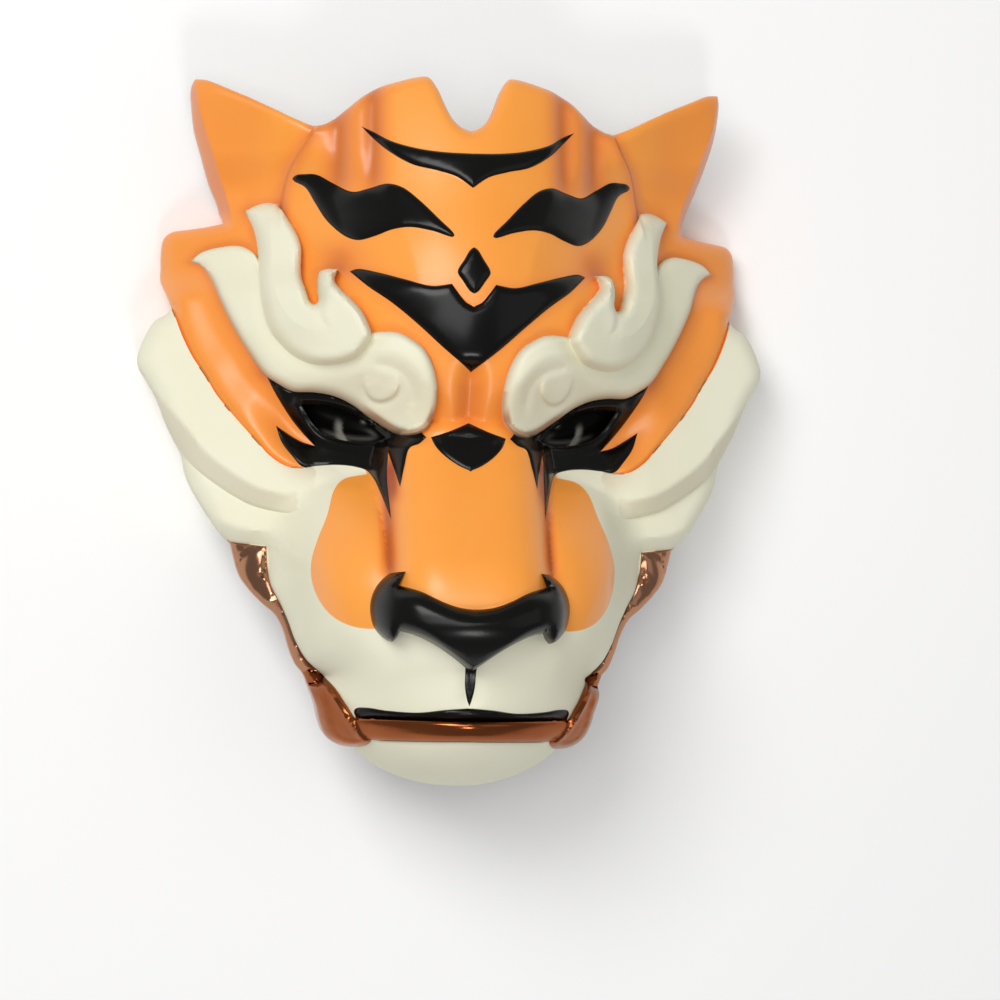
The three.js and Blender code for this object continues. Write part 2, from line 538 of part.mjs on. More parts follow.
function makeShell() {
  const domain = (x, y) => inRim(x, y) > 2.2 && inHole(x, y) < -1.8;
  const draw = (step, closed) => (points) => drawLine(points, step, closed);
  const clear = (line) => line.filter(([x, y]) => domain(x, y));
  const steps = [RIBBON, FLAME, NOSE, BAR, PLATE, ARM].map(draw(4.8));
  const stripes = [EYE_PATCH, BIG_STRIPE, CRESCENT, WAVE, SMALL_DIAMOND, NOSE_DIAMOND].map(draw(5.2));
  const lines = [LOCK_FOOT, BAND_EDGE, FLAME_FOLD, EAR_FOLD, EAR_SIDE].map(draw(5.5, false));
  const both = (line, offset, gap) =>
    [offset, -offset].map((side) => ({ line: beside(line, side), gap }));
  const loose = [
    ...both(rimLine, 2.2, 2),
    ...both(rimLine, 6.5, 3),
    ...steps.flatMap((line) => both(line, 1.8, 1.6)),
    ...stripes.flatMap((line) => both(line, 1.8, 1.6)),
    ...both(lines[0], 8.5, 3),
    { line: drawLine(LOCK_BREAK, 7, false), gap: 3 },
  ];
  const fixed = [[NOSE_TOP], ...[...steps, ...stripes, ...lines].map(clear)];
  const top = { points: spread([rimLine, holeLine, ...fixed], loose, 9.8, domain), height: front };
  // The back follows the arm closely, and the narrow gap beside the tip of the eyebrow
  const arm = drawLine(ARM, 6);
  const inner = [
    ...both(rimLine, WALL - 1, 1.3),
    ...both(rimLine, WALL + 0.8, 1.3),
    { line: lensPoints, gap: 1.5 },
    { line: [[73, 74], [73.5, 79], [74, 84], [75.5, 90]], gap: 2 },
    ...[0, -3, -7, -12].map((offset) => ({ line: beside(arm, offset), gap: 2.5 })),
  ];
  const foot = { points: spread([rimLine, holeLine], inner, 13, domain), height: back };
  return moulding({ rim: rimLine, holes: [holeLine], top, foot, sides: [1, -1] });
}

// A lens follows the inside of the shell and swells into the eye hole, with a raised iris
function makeLens(side) {
  const height = (x, y) => {
    const iris = Math.hypot(x - IRIS[0], y - IRIS[1]) / (IRIS_RADIUS + 0.6);
    return hollow(x, y) - LENS_GAP + LENS_BULGE * smoothstep(inHole(x, y), -1, 8.5)
      + 1.1 * swell(iris, 0.8);
  };
  const top = { points: lensPoints, height };
  const foot = { points: lensPoints, height: (x, y) => height(x, y) - LENS_WALL };
  return moulding({ rim: lensLine, holes: [], top, foot, sides: [side] });
}

// Assembly
const mask = new THREE.Group();
mask.position.y = -MIDDLE_Y;

function place(name, geometry, color, roughness) {
  const material = new THREE.MeshStandardMaterial({ color, roughness, metalness: 0 });
  const mesh = new THREE.Mesh(geometry, material);
  mesh.name = name;
  mask.add(mesh);
}

place('mask_shell', makeShell(), 0xe98a35, 0.4);
place('lens_left', makeLens(-1), 0x1c1814, 0.1);
place('lens_right', makeLens(1), 0x1c1814, 0.1);

const assembly = new THREE.Group();
assembly.add(mask);
export default assembly;
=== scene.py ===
import math
import bmesh
import bpy
import numpy as np
from mathutils import Matrix, Vector
from mathutils.geometry import delaunay_2d_cdt


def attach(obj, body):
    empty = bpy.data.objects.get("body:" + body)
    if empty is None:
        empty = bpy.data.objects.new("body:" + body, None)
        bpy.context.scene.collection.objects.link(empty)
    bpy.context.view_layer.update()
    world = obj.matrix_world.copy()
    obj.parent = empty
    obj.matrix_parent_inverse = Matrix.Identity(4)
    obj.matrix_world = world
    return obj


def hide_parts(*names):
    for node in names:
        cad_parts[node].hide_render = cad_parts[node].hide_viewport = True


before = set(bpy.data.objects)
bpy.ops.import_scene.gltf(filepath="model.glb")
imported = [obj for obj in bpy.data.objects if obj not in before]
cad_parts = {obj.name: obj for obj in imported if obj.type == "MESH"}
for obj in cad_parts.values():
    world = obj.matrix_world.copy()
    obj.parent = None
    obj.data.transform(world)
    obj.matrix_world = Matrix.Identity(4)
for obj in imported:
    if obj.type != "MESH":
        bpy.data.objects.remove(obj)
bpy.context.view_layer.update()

# Floor
# A seamless pale studio sheet. The mask lies on it, face up, and the camera looks down on it.
# Matt paper: it scatters the light evenly and only a soft contact shadow shows on it.
FLOOR_HALF = 6.0        # metres
PAPER = "#FBFAF9"


def linear(hex_colour):
    """An sRGB hex colour as the linear values that a material takes."""
    values = [int(hex_colour[i:i + 2], 16) / 255 for i in (1, 3, 5)]
    return [v / 12.92 if v <= 0.04045 else ((v + 0.055) / 1.055) ** 2.4 for v in values] + [1.0]


def add(tree, kind, settings=None, links=None):
    """One node with its properties, socket values and incoming links."""
    node = tree.nodes.new(kind)
    for name, value in (settings or {}).items():
        if isinstance(name, int) or name in node.inputs:
            node.inputs[name].default_value = value
        else:
            setattr(node, name, value)
    for socket, source in (links or {}).items():
        tree.links.new(source, node.inputs[socket])
    return node


def new_material(name):
    """A material and its tree, which is empty."""
    material = bpy.data.materials.new(name)
    material.use_nodes = True
    material.node_tree.nodes.clear()
    return material, material.node_tree


def mesh_object(name, mesh):
    piece = bpy.data.objects.new(name, mesh)
    bpy.context.scene.collection.objects.link(piece)
    return piece


paper, tree = new_material("matt studio paper")
sheet = add(tree, "ShaderNodeBsdfPrincipled", {
    "Base Color": linear(PAPER), "Roughness": 0.9, "Specular IOR Level": 0.1})
add(tree, "ShaderNodeOutputMaterial", links={"Surface": sheet.outputs[0]})

bm = bmesh.new()
bmesh.ops.create_grid(bm, x_segments=1, y_segments=1, size=FLOOR_HALF)
floor_mesh = bpy.data.meshes.new("studio_floor")
bm.to_mesh(floor_mesh)
bm.free()
floor_mesh.materials.append(paper)
floor = mesh_object("studio_floor", floor_mesh)

# Camera
# It stands 1.5 m above the face, turned a little to one side and rolled by one degree, with its
# aim slightly off the middle of the mask.
MM = 0.001
VIEWED_POINT = Vector((0, -4, 80)) * MM     # the point that the view is measured from
VIEW_DISTANCE = 1500 * MM
VIEW_YAW = math.radians(6.5)
VIEW_ROLL = math.radians(1.05)
VIEW_OFFSET = Vector((17.5, -27.3, 0)) * MM
FOCAL = 118.8         # millimetres, as the sensor's width
SENSOR = 36
CLIP_END = 20         # metres

turn = Matrix.Rotation(-VIEW_ROLL, 3, 'Z') @ Matrix.Rotation(VIEW_YAW, 3, 'Y')
to_world = turn.transposed()
place = to_world @ (VIEW_OFFSET + Vector((0, 0, VIEW_DISTANCE))) + VIEWED_POINT
lens = bpy.data.cameras.new("camera")
lens.lens = FOCAL
lens.sensor_width = SENSOR
lens.clip_end = CLIP_END
camera = bpy.data.objects.new("camera", lens)
camera.matrix_world = Matrix.Translation(place) @ to_world.to_4x4()
bpy.context.scene.collection.objects.link(camera)
bpy.context.scene.camera = camera

# Lights
# A large soft key over the left of the forehead, a weak fill from the right, a broad front light
# and a small low one, which lights the chin and draws the highlights on the glossy nose. The
# surround is pale and even. Places and sizes are in metres, power in watts.
SURROUND = 0.31


def soft_light(name, place, size, power):
    data = bpy.data.lights.new(name, 'AREA')
    data.shape = 'RECTANGLE'
    data.size, data.size_y = size
    data.energy = power
    light = bpy.data.objects.new(name, data)
    light.location = place
    light.rotation_euler = (Vector(place) - VIEWED_POINT).to_track_quat('Z', 'Y').to_euler()
    bpy.context.scene.collection.objects.link(light)


soft_light("key", (-0.75, 0.75, 1.6), (0.8, 0.8), 16.5)
soft_light("fill", (1.2, 0.1, 1.3), (1.2, 1.2), 1.6)
soft_light("front", (-0.25, 0.1, 1.9), (0.9, 0.9), 9)
soft_light("low", (0.1, -1.1, 1.5), (0.35, 0.35), 4.5)
world = bpy.data.worlds.new("pale surround")
world.use_nodes = True
sky = world.node_tree.nodes["Background"]
sky.inputs["Color"].default_value = linear("#F4F6F8")
sky.inputs["Strength"].default_value = SURROUND
bpy.context.scene.world = world
bpy.context.scene.view_settings.view_transform = 'Standard'

# Shell
# One hollow casting in polyurethane resin, about 4.5 mm thick, sanded and painted. The two layers
# of the eyebrows, the nose, the mouth bar with its corner plates, the arms beside the muzzle and
# the black stripes are all cast with it.

# Its front is a height over the outline, with rounded steps along curved lines. Mesh operators
# can't cut such steps cleanly, so the points and faces are worked out. Lengths are in
# millimetres, on the right-hand half, from a zero line 4 mm below the middle of the mask.
ZERO_LINE = 4
WALL = 4.5
FACE_HEIGHT = 90
SIDE_FALL = 0.0032
END_FALL = 0.0008
HIGHEST_AT = 10
CROWN_LIFT = 18

# Bulges and hollows of the face: height, middle, half widths, and how soon they die away
FOREHEAD = (36, (0, 68), (100, 100), 1.3)
MUZZLE = (62, (0, -88), (122, 78), 1.2)
CHIN = (19, (0, -144), (62, 44), 2)
CHEEK_PAD = (8, (53, -50), (28, 44), 1.8)
EYE_HOLLOW = (-16, (52, 6), (48, 30), 2)
EAR_DIP = (-6, (100, 128), (30, 36), 1.5)

# Upright creases: place, width and depth, then where each starts, is full, fades and ends
BROW_FURROW = (0, 5, 4.5, 0, 8, 26, 38)
UNDER_NOSE = (0, 4.5, 2, -121, -114, -103, -98)
BRIDGE_CREASE = (35.5, 3, 3.5, -62, -52, -20, -8)
FLUTES = (43, 58)
FLUTE_WIDTH = 4.5
FLUTE_DEPTH = 3

# The forehead's flat middle. Its edges part upwards, from this place at this height, and outside
# them the forehead slopes away.
PLANE_EDGE = 27
PLANE_FOOT = 79
PLANE_SPREAD = 0.3
PLANE_SLOPE = 0.02
BEYOND_SLOPE = 0.25
EAR_SLANT = 1.9
EAR_CREASE = 2.4

# The bridge rises in front of the brow and is level again at the nose
BRIDGE_TOP = 112
BRIDGE_RISE = 0.7
BRIDGE_HALF = 33
BRIDGE_TAPER = 0.9
BRIDGE_SIDES = 15
BRIDGE_BROW = 12
BRIDGE_BENDS = 52
BRIDGE_END = 80

# The nose is highest at its peak. It falls away to its sides, more so at its wings, and to its
# lower and upper ends.
NOSE_HEIGHT = 163.49
NOSE_PEAK = -80
NOSE_SIDE_FALL = 0.006
NOSE_WING = 24
NOSE_WING_FALL = 0.03
NOSE_LOWER_FALL = 0.035
NOSE_UPPER_FALL = 0.02

# Carving: how far each piece stands up, and how wide its rounded edge is
RIBBON_LIFT = 9
RIBBON_EDGE = 4.5
FLAME_LIFT = 8
FLAME_EDGE = 5
BAR_LIFT = 4.5
BAR_EDGE = 4
PLATE_LIFT = 1.2 * BAR_LIFT
PLATE_EDGE = 3.5
STRIPE_LIFT = 1.7
STRIPE_EDGE = 3.6
PATCH_EDGE = 3
LIP_EDGE = 2
PHILTRUM_LIFT = 0.8
PHILTRUM_EDGE = 1.2
LID_LIFT = 1.6

# The bar lies in a shallow channel, and a bead runs round each plate
CHANNEL_DEPTH = 2.5
CHANNEL_EDGE = 3.5
BEAD_LIFT = 1.8
BEAD_INSET = 3.2
BEAD_WIDTH = 1.1

# Lines carved into the eyebrow: height or depth, then width, on both sides where they differ
KNOB_CUT = (1.5, 7, 2.5)
VALLEY_CUT = (1.6, 2.4)
RIDGE_CUT = (1.2, 2.8)
FOLD_CREST = (2.2, 7, 11)
CREASE_CUT = (-1, 3, 5)
FLAME_MOAT = 2.2

# The temple band, and the flat locks of fur below it: where their plane is level, how it leans
# and slopes, and the step and the width of the slanting face between them
BAND_LIFT = 3.5
BAND_FALL = 5
LOCK_CORNER = (78.5, -13.5)
LOCK_LEAN = (0.81, 0.59)
LOCK_LEVEL = 72
LOCK_SLOPE = 0.39
LOCK_SIDE_SLOPE = 0.1
LOCK_STEP = 11
LOCK_FACE = 8.5

# The arm is a low strip, with two ribs near the rim and an oval boss in a ring
ARM_DROP = 4
BOSS = (93.5, -60.5)
BOSS_HALF = (5.6, 10)
BOSS_LEAN = (0.94, 0.34)
BOSS_LIFT = 3
RING_LIFT = 1.1
RING_OUT = 1.15
RING_WIDTH = 0.16
RIBS = (3.4, 6.6)
RIB_LIFT = 1.1
RIB_WIDTH = 0.9

# The surface turns down at the rim, with this radius, into a wall this deep: on the sides, the
# crown, the ears, the jaw, the corner plates and the arms. The sides lean in by the tuck, and
# the rim's outer edge is a little rounded.
TURN_RADIUS = (8, 5, 4.6, 6, 15, 4)
TURN_WALL = (90, 9, 5, 10, 20, 10)
TUCK = 9
FOOT_ROUND = 0.9
FOOT_LIFT = 0.7

C = 1        # third value of a point: the outline has a corner there
RIM = [
    (0, 138.5, C), (4, 140), (8, 144), (11.5, 151), (14.5, 158.5), (18.5, 164), (23, 164),
    (33, 161.5), (41, 159), (47, 155.5), (55, 149), (61, 144.5), (67, 142), (76, 145), (86, 150),
    (98, 156), (108, 160.5), (117.5, 164.8), (122.8, 165.5, C), (124.4, 162), (123.8, 151),
    (122.6, 143), (119.2, 131.5), (115.4, 119.5), (111, 109), (108.4, 99.5, C), (116, 98),
    (125, 97), (133, 96), (136.5, 93), (138, 87), (138, 80), (137, 73), (134, 66),
    (131.5, 59.5, C), (134, 56.5), (139, 53.5), (142.5, 48.5), (145.5, 41.5), (146.99, 36),
    (146, 31), (142.5, 25.5), (139, 19.5), (137, 15), (133.5, 6), (129, -3), (126, -9),
    (124.5, -16.5), (121.5, -24), (117, -31.5), (112.8, -38), (108, -44.5), (102.8, -49.5, C),
    (101.5, -55), (98.6, -64), (93.7, -70.7), (88, -76.5), (82, -81.5), (78.4, -88), (75.5, -97),
    (72.5, -104), (68.8, -108.5), (66.5, -114.5), (64, -121.5), (62, -129.5), (58.8, -136),
    (52.5, -139.8), (46.5, -140.5, C), (38, -147.5), (26, -153.3), (13.5, -156.5), (0, -157.5, C),
]
RIBBON = [
    (123, 81.5, C), (118.5, 85.5), (109, 88), (100, 88), (94, 84), (88, 70), (75, 52), (60, 47),
    (50, 45), (42, 46.7), (33, 46.5), (27.5, 44), (21.5, 39.5), (17, 31.7), (14.7, 21.7),
    (15, 12.2), (17, 6.2), (21, 2.4), (26, 1.2), (31, 2), (35.5, 4.4), (39.2, 6.9), (43.3, 9.7),
    (50, 14.6), (58, 18.5), (66.8, 20.2), (76.7, 20.7), (83.5, 24.2), (89.2, 28.2), (96, 37.5),
    (103, 49), (109, 61), (113.7, 72.7), (118, 79),
]
FLAME = [
    (98.8, 104.3, C), (94, 107), (88.6, 108.2), (84.4, 107.2, C), (81.8, 103), (78.5, 97.4),
    (75.6, 92), (73.9, 86), (74, 79), (73.9, 72), (72, 65.3), (70.4, 60.5), (68.6, 59.2),
    (67, 60.7), (67.4, 66.6), (67.2, 71.5), (66, 74.6), (62.9, 75.7), (58.4, 75.1, C), (60, 70),
    (57.3, 65.8), (52.4, 60.7), (48.3, 55.8), (45.2, 49.5), (43.8, 44.3), (46.3, 39.9),
    (50.2, 35), (55.6, 32.5), (62.4, 31.5), (69.6, 32.2), (77.4, 36), (83.5, 41.8), (87.9, 47.8),
    (90.6, 55), (92.5, 65), (93, 75), (92.7, 84), (93.8, 92), (95.6, 98),
]
# The black round the eye runs on under the ribbon, whose edge covers it
EYE_PATCH = [
    (88.5, 28, C), (84, 28), (71, 24), (60, 22), (52, 19), (45, 15), (38, 10), (31, 7), (24, 5.5),
    (18.7, 0.3, C), (22, -2.6), (26, -4.5), (28.6, -13), (30.6, -22, C), (32.7, -14),
    (34.8, -6.5, C), (35.4, -17), (34.4, -36.3, C), (38, -25), (40.6, -18.3), (43, -14.9),
    (48.4, -13.1), (56.8, -12.4), (65.3, -13), (71.3, -13.6), (76.4, -8.5), (81, -2.3),
    (83.6, 5.2, C), (77.4, 1.1), (71.5, -2.2), (65.9, -3.8, C), (71, 1.5), (76, 7.5),
    (80.2, 13.5), (84.6, 20.5),
]
EYE_HOLE = [
    (72.5, 15, C), (65.6, 14.8), (59, 13.8), (52, 11.6), (46, 8.6), (40, 4.6), (35, 0, C),
    (40, -1.8), (47, -2), (56.5, -0.4), (62.8, 2.2), (67.5, 6.8),
]
NOSE = [
    (0, -74.6, C), (8, -73.6), (15.6, -70.8), (23.4, -67.2), (32.4, -64.8, C), (29.8, -58.8, C),
    (35.6, -60), (41, -65), (43.8, -71.8), (43.8, -78.5), (42, -84), (37.4, -88.8),
    (34.6, -89.8, C), (32.6, -87.6), (31.5, -85, C), (25.3, -86.4), (16.3, -90.6), (8.4, -95.8),
    (0, -102.5, C),
]
BIG_STRIPE = [
    (0, 58.2, C), (3.5, 60), (7, 64.2), (9.8, 68.1, C), (18.4, 67), (29.6, 69.9), (41, 73.3),
    (50, 75.3), (53.3, 74.2, C), (45.2, 66.6), (35.4, 59.5), (24, 49.9), (12.5, 39.6),
    (0, 29.6, C),
]
SMALL_DIAMOND = [
    (0, 84.6, C), (1.6, 83.6), (4.4, 79), (7.1, 74.6), (7.3, 73), (5, 69.4), (1.7, 64.8),
    (0, 63.9, C),
]
NOSE_DIAMOND = [
    (0, 7, C), (8.8, 3.1), (16.8, 0.4, C), (15, -3.6), (11, -8), (5, -12.2), (0, -14.4, C),
]
CRESCENT = [
    (0, 127.6, C), (12, 128), (24, 129.7), (36, 133.5), (43, 138), (48.5, 140.5, C),
    (42.8, 134.6), (36.5, 128.5), (26.5, 122.4), (15.5, 119.5), (7.2, 116.8), (0, 111.8, C),
]
WAVE = [
    (77.2, 117), (78, 118.4), (76.4, 119.8), (73, 120), (67.8, 119.6), (60.4, 115.5), (52, 110.8),
    (45.2, 112), (37.6, 113.8), (31, 112), (23.2, 105.6), (15.5, 97.6), (8.7, 90.3), (8.9, 89.1),
    (18.7, 91.9), (27.7, 93.5), (35.4, 92.6), (43, 89.8), (49.8, 88.4), (55.2, 90.5),
    (62.8, 97.8), (68, 106.5), (72.3, 114),
]
# The lip runs on under the bar
LIP = [
    (0, -118.4, C), (10, -119.3), (22, -121), (35, -120.9), (43, -120.2), (47.5, -120.8),
    (48.4, -122.4), (47, -126, C), (20, -126), (0, -126, C),
]
PHILTRUM = [
    (0, -98, C), (2.8, -98, C), (2.4, -103), (2.2, -109), (1, -115), (0, -117.6, C),
]
BAR = [
    (0, -123.8, C), (20, -124), (40, -124.6), (50, -125.2, C), (54, -134, C), (42, -135.4, C),
    (20, -134.2), (0, -133.6, C),
]
# The plates reach over the rim at the corners of the jaw
PLATE = [
    (60.8, -107.8, C), (56.2, -112.6), (52.2, -118.6), (48, -125), (43.6, -131), (40.2, -135.6),
    (42.5, -138.6), (46, -140), (52, -141), (60, -142, C), (72, -136, C), (74, -112, C),
    (67, -106, C),
]
ARM = [
    (107, -46.5, C), (102, -48.6), (95.4, -49.4), (86.8, -50.2, C), (86.2, -58.8), (84.4, -67.9),
    (80.2, -76), (76.4, -84.1), (72.9, -93.2), (68.1, -101.3), (63.3, -105.8), (60, -108.6, C),
    (64, -112, C), (90, -122, C), (130, -80, C), (120, -52, C),
]
BAND_EDGE = [
    (145, 63, C), (131.5, 59.5, C), (126.5, 46), (121.5, 36), (116, 28), (111, 19.5), (105, 12),
    (98.5, 4.5), (92.5, -2), (86, -9), (78.5, -13.5), (71.5, -14), (64, -14.2), (55, -14.6),
]
LOCK_FOOT = [
    (152, 26), (144, 13.5), (135.5, 3.5), (128, -5), (124, -10.5), (119, -15.5), (111.5, -21.3),
    (102.4, -27.2), (95, -31), (85.4, -33.6), (78, -34.6), (72, -33), (65, -29.5),
]
# Carved lines. The lower lock breaks downwards, the flame has a fold and a crease beside its
# hook, the eyebrow's scroll has three turns, and a fold parts the ear from the forehead.
LOCK_BREAK = [
    (128, -20), (121, -27), (114, -34), (107.5, -38.8), (99, -42), (90, -43), (83, -42.2),
    (74, -38),
]
FLAME_FOLD = [
    (88.9, 110), (87.7, 89.3), (87.4, 74.6), (84.9, 61.6), (78.5, 51.8), (70.3, 47.2), (58, 49),
]
FLAME_CREASE = [
    (61.5, 73), (64.2, 65), (65.4, 59), (65.5, 53), (62, 47),
]
SCROLL_KNOB = [
    (33, 28), (31.8, 22), (33.6, 18.4), (38, 16.2), (42, 16.8), (45, 19.8), (46.6, 24),
    (46.2, 29),
]
SCROLL_VALLEY = [
    (48, 32.5), (41, 32.2), (34.5, 30.5), (30, 27.6), (26.4, 22.5), (25.6, 14), (28, 9.5),
]
SCROLL_RIDGE = [
    (52, 37), (43, 38.4), (33, 37), (25.4, 31.5), (21.4, 24), (20.4, 15),
]
EAR_FOLD = [
    (62, 154), (68, 142), (73, 133), (78, 125), (81, 116), (82.5, 106), (85, 92),
]
# The front of the ear ends here, and its side slants back
EAR_SIDE = [
    (122.8, 165), (120.6, 152), (117.6, 142), (113.8, 131), (110, 119.5), (106.2, 109), (104, 98),
]
# The cream of the muzzle and cheek fur, up to the orange cheek pad, the black round the eye
# and the temple band
CREAM = [
    (0, -96, C), (30, -80, C), (40, -84.2, C), (46, -84.4), (52.7, -83.2), (59.1, -80),
    (64.5, -73.8), (67.8, -65.6), (68.4, -56.5), (65.8, -46.3), (61.4, -35.1), (57.7, -23.4),
    (53.3, -18.8), (43.2, -16.4, C), (44, -12, C), (70, -8, C), (71.5, -14, C), (78.5, -13.5),
    (86, -9), (92.5, -2), (98.5, 4.5), (105, 12), (111, 19.5), (116, 28), (121.5, 36),
    (126.5, 46), (131.5, 59.5, C), (160, 80, C), (170, -60, C), (100, -170, C), (0, -170, C),
]


def draw_line(points, step, closed=True):
    """A smooth line through the points, broken at corners, in steps of about one length."""
    line = points + [points[0]] if closed else points
    last = len(line) - 1
    stops = [i for i, p in enumerate(line) if i in (0, last) or len(p) == 3]
    drawn = []
    for start, end in zip(stops, stops[1:]):
        run = np.array([p[:2] for p in line[start:end + 1]], float)
        if len(run) > 2:
            run = centripetal(run)
        along = np.concatenate(([0], np.cumsum(np.hypot(*np.diff(run, axis=0).T))))
        count = max(1, round(along[-1] / step))
        at = np.linspace(0, along[-1], count + 1)
        places = np.stack([np.interp(at, along, run[:, 0]), np.interp(at, along, run[:, 1])], 1)
        drawn.append(places[:-1])
    if not closed:
        drawn.append(places[-1:])
    return np.concatenate(drawn)


def centripetal(run, parts=16):
    """A smooth curve through the points. Its parameter grows by the square root of the distance
    from point to point, so that it makes no loops where points are close."""
    ends = np.concatenate(([2 * run[0] - run[1]], run, [2 * run[-1] - run[-2]]))
    curve = []
    for p0, p1, p2, p3 in zip(ends, ends[1:], ends[2:], ends[3:]):
        d0, d1, d2 = (np.hypot(*(b - a)) ** 0.5 for a, b in ((p0, p1), (p1, p2), (p2, p3)))
        t1 = ((p1 - p0) / d0 - (p2 - p0) / (d0 + d1) + (p2 - p1) / d1) * d1
        t2 = ((p2 - p1) / d1 - (p3 - p1) / (d1 + d2) + (p3 - p2) / d2) * d1
        t = np.linspace(0, 1, parts, endpoint=False)[:, None]
        curve.append(p1 + t1 * t + (-3 * p1 + 3 * p2 - 2 * t1 - t2) * t ** 2
                     + (2 * p1 - 2 * p2 + t1 + t2) * t ** 3)
    curve.append(run[-1:])
    return np.concatenate(curve)


def inside(outline, x, y):
    found = np.zeros(x.shape, bool)
    for p, q in zip(outline, np.roll(outline, -1, axis=0)):
        if p[1] != q[1]:
            crosses = (p[1] > y) != (q[1] > y)
            found ^= crosses & (x < p[0] + (y - p[1]) / (q[1] - p[1]) * (q[0] - p[0]))
    return found


def nearest(starts, ends, x, y):
    """Distance from each place to the nearest of the segments, and which one that is."""
    best = np.full(x.shape, np.inf)
    which = np.zeros(x.shape, int)
    for i, (p, q) in enumerate(zip(starts, ends)):
        run = q - p
        t = np.clip(((x - p[0]) * run[0] + (y - p[1]) * run[1]) / (run @ run), 0, 1)
        d = (x - p[0] - t * run[0]) ** 2 + (y - p[1] - t * run[1]) ** 2
        closer = d < best - 1e-12
        best[closer] = d[closer]
        which[closer] = i
    return np.sqrt(best), which


def region(points, step=1.5, reach=14):
    """A closed outline as a function of places: the distance to it, positive inside. The side
    of a half outline that lies on the middle line is no edge. Beyond its reach from the
    outline's box the distance is only a rough one."""
    outline = draw_line(points, step)
    starts, ends = outline, np.roll(outline, -1, axis=0)
    edge = (np.abs(starts[:, 0]) > 1e-6) | (np.abs(ends[:, 0]) > 1e-6)
    low, high = outline.min(0), outline.max(0)

    def depth(x, y):
        x, y = np.broadcast_arrays(np.asarray(x, float), np.asarray(y, float))
        away = np.maximum.reduce([low[0] - x, x - high[0], low[1] - y, y - high[1]])
        result = -away.copy()
        near = away < reach
        d, _ = nearest(starts[edge], ends[edge], x[near], y[near])
        result[near] = np.where(inside(outline, x[near], y[near]), d, -d)
        return result
    return depth


FAR = 400.0


def carved(points, step=1.5, reach=FAR):
    """An open line as a function of places: the distance to it, positive on its left, and how
    far along it the nearest place is, from 0 to 1."""
    line = draw_line(points, step, closed=False)
    low, high = line.min(0) - reach, line.max(0) + reach

    def beside_line(x, y):
        x, y = np.broadcast_arrays(np.asarray(x, float), np.asarray(y, float))
        distance = np.full(x.shape, FAR)
        along = np.zeros(x.shape)
        near = (x > low[0]) & (x < high[0]) & (y > low[1]) & (y < high[1])
        d, which = nearest(line[:-1], line[1:], x[near], y[near])
        p, run = line[:-1][which], np.diff(line, axis=0)[which]
        left = run[..., 0] * (y[near] - p[..., 1]) - run[..., 1] * (x[near] - p[..., 0]) > 0
        distance[near] = np.where(left, d, -d)
        along[near] = (which + 0.5) / (len(line) - 1)
        return distance, along
    return beside_line


in_rim = region(RIM)
in_ribbon = region(RIBBON)
in_flame = region(FLAME)
in_patch = region(EYE_PATCH)
in_hole = region(EYE_HOLE)
in_nose = region(NOSE)
in_arm = region(ARM, reach=30)
in_bar = region(BAR)
in_plate = region(PLATE)
in_lip = region(LIP)
in_philtrum = region(PHILTRUM)
in_cream = region(CREAM)
in_stripes = [region(p) for p in (BIG_STRIPE, SMALL_DIAMOND, NOSE_DIAMOND, CRESCENT, WAVE)]
at_band, at_lock = carved(BAND_EDGE), carved(LOCK_FOOT)
at_break = carved(LOCK_BREAK, reach=120)
at_fold, at_crease = carved(FLAME_FOLD, reach=20), carved(FLAME_CREASE, reach=12)
at_knob, at_valley, at_ridge = (carved(p, reach=12) for p in
                                (SCROLL_KNOB, SCROLL_VALLEY, SCROLL_RIDGE))
at_ear, at_ear_side = carved(EAR_FOLD, reach=30), carved(EAR_SIDE)


def smoothstep(value, low, high):
    t = np.clip((value - low) / (high - low), 0, 1)
    return t * t * (3 - 2 * t)


def lerp(a, b, t):
    return a + (b - a) * t


def bell(t):
    return np.exp(-t * t)


def swell(t, power):
    return np.maximum(0, 1 - t * t) ** power


def shoulder(d, width):
    """A rounded step: 0 at an outline, 1 from the given width inwards."""
    return np.sqrt(1 - (1 - np.clip(d / width, 0, 1)) ** 2)


def within(value, start, full, fading, end):
    """0 before the start, 1 from full until fading, and 0 again from the end."""
    return smoothstep(value, start, full) * (1 - smoothstep(value, fading, end))


def ends_of(along, fade=0.25):
    return within(along, 0, fade, 1 - fade, 1)


def upright(a, y, place, width, depth, *ends):
    """A soft line up the face, such as a crease."""
    return depth * bell((a - place) / width) * within(y, *ends)


def bulge(a, y, height, middle, half_size, power):
    away = np.hypot((a - middle[0]) / half_size[0], (y - middle[1]) / half_size[1])
    return height * swell(away, power)


def crest(line, a, y, height, left, right):
    """A raised line with a flat slope down on each side, fading out at its ends."""
    d, along = line(a, y)
    return height * ends_of(along) * np.maximum(0, 1 - np.abs(d) / np.where(d > 0, left, right))


def cut(line, a, y, depth, left, right):
    """A cut line with its high side on the left, or on the right for a negative depth."""
    d, along = line(a, y)
    step = 2 * smoothstep(d, -0.9, 0.9) - 1
    return depth * ends_of(along) * step * bell(d / np.where(d > 0, left, right))


def groove(line, a, y, depth, width):
    """How deep a round-bottomed groove along a line is at each place."""
    d, along = line(a, y)
    return depth * ends_of(along) * bell(d / width)


def by_arm(a, y):
    """1 on the arm, down to 0 a little way off it."""
    return 1 - smoothstep(-in_arm(a, y), 0, 14)


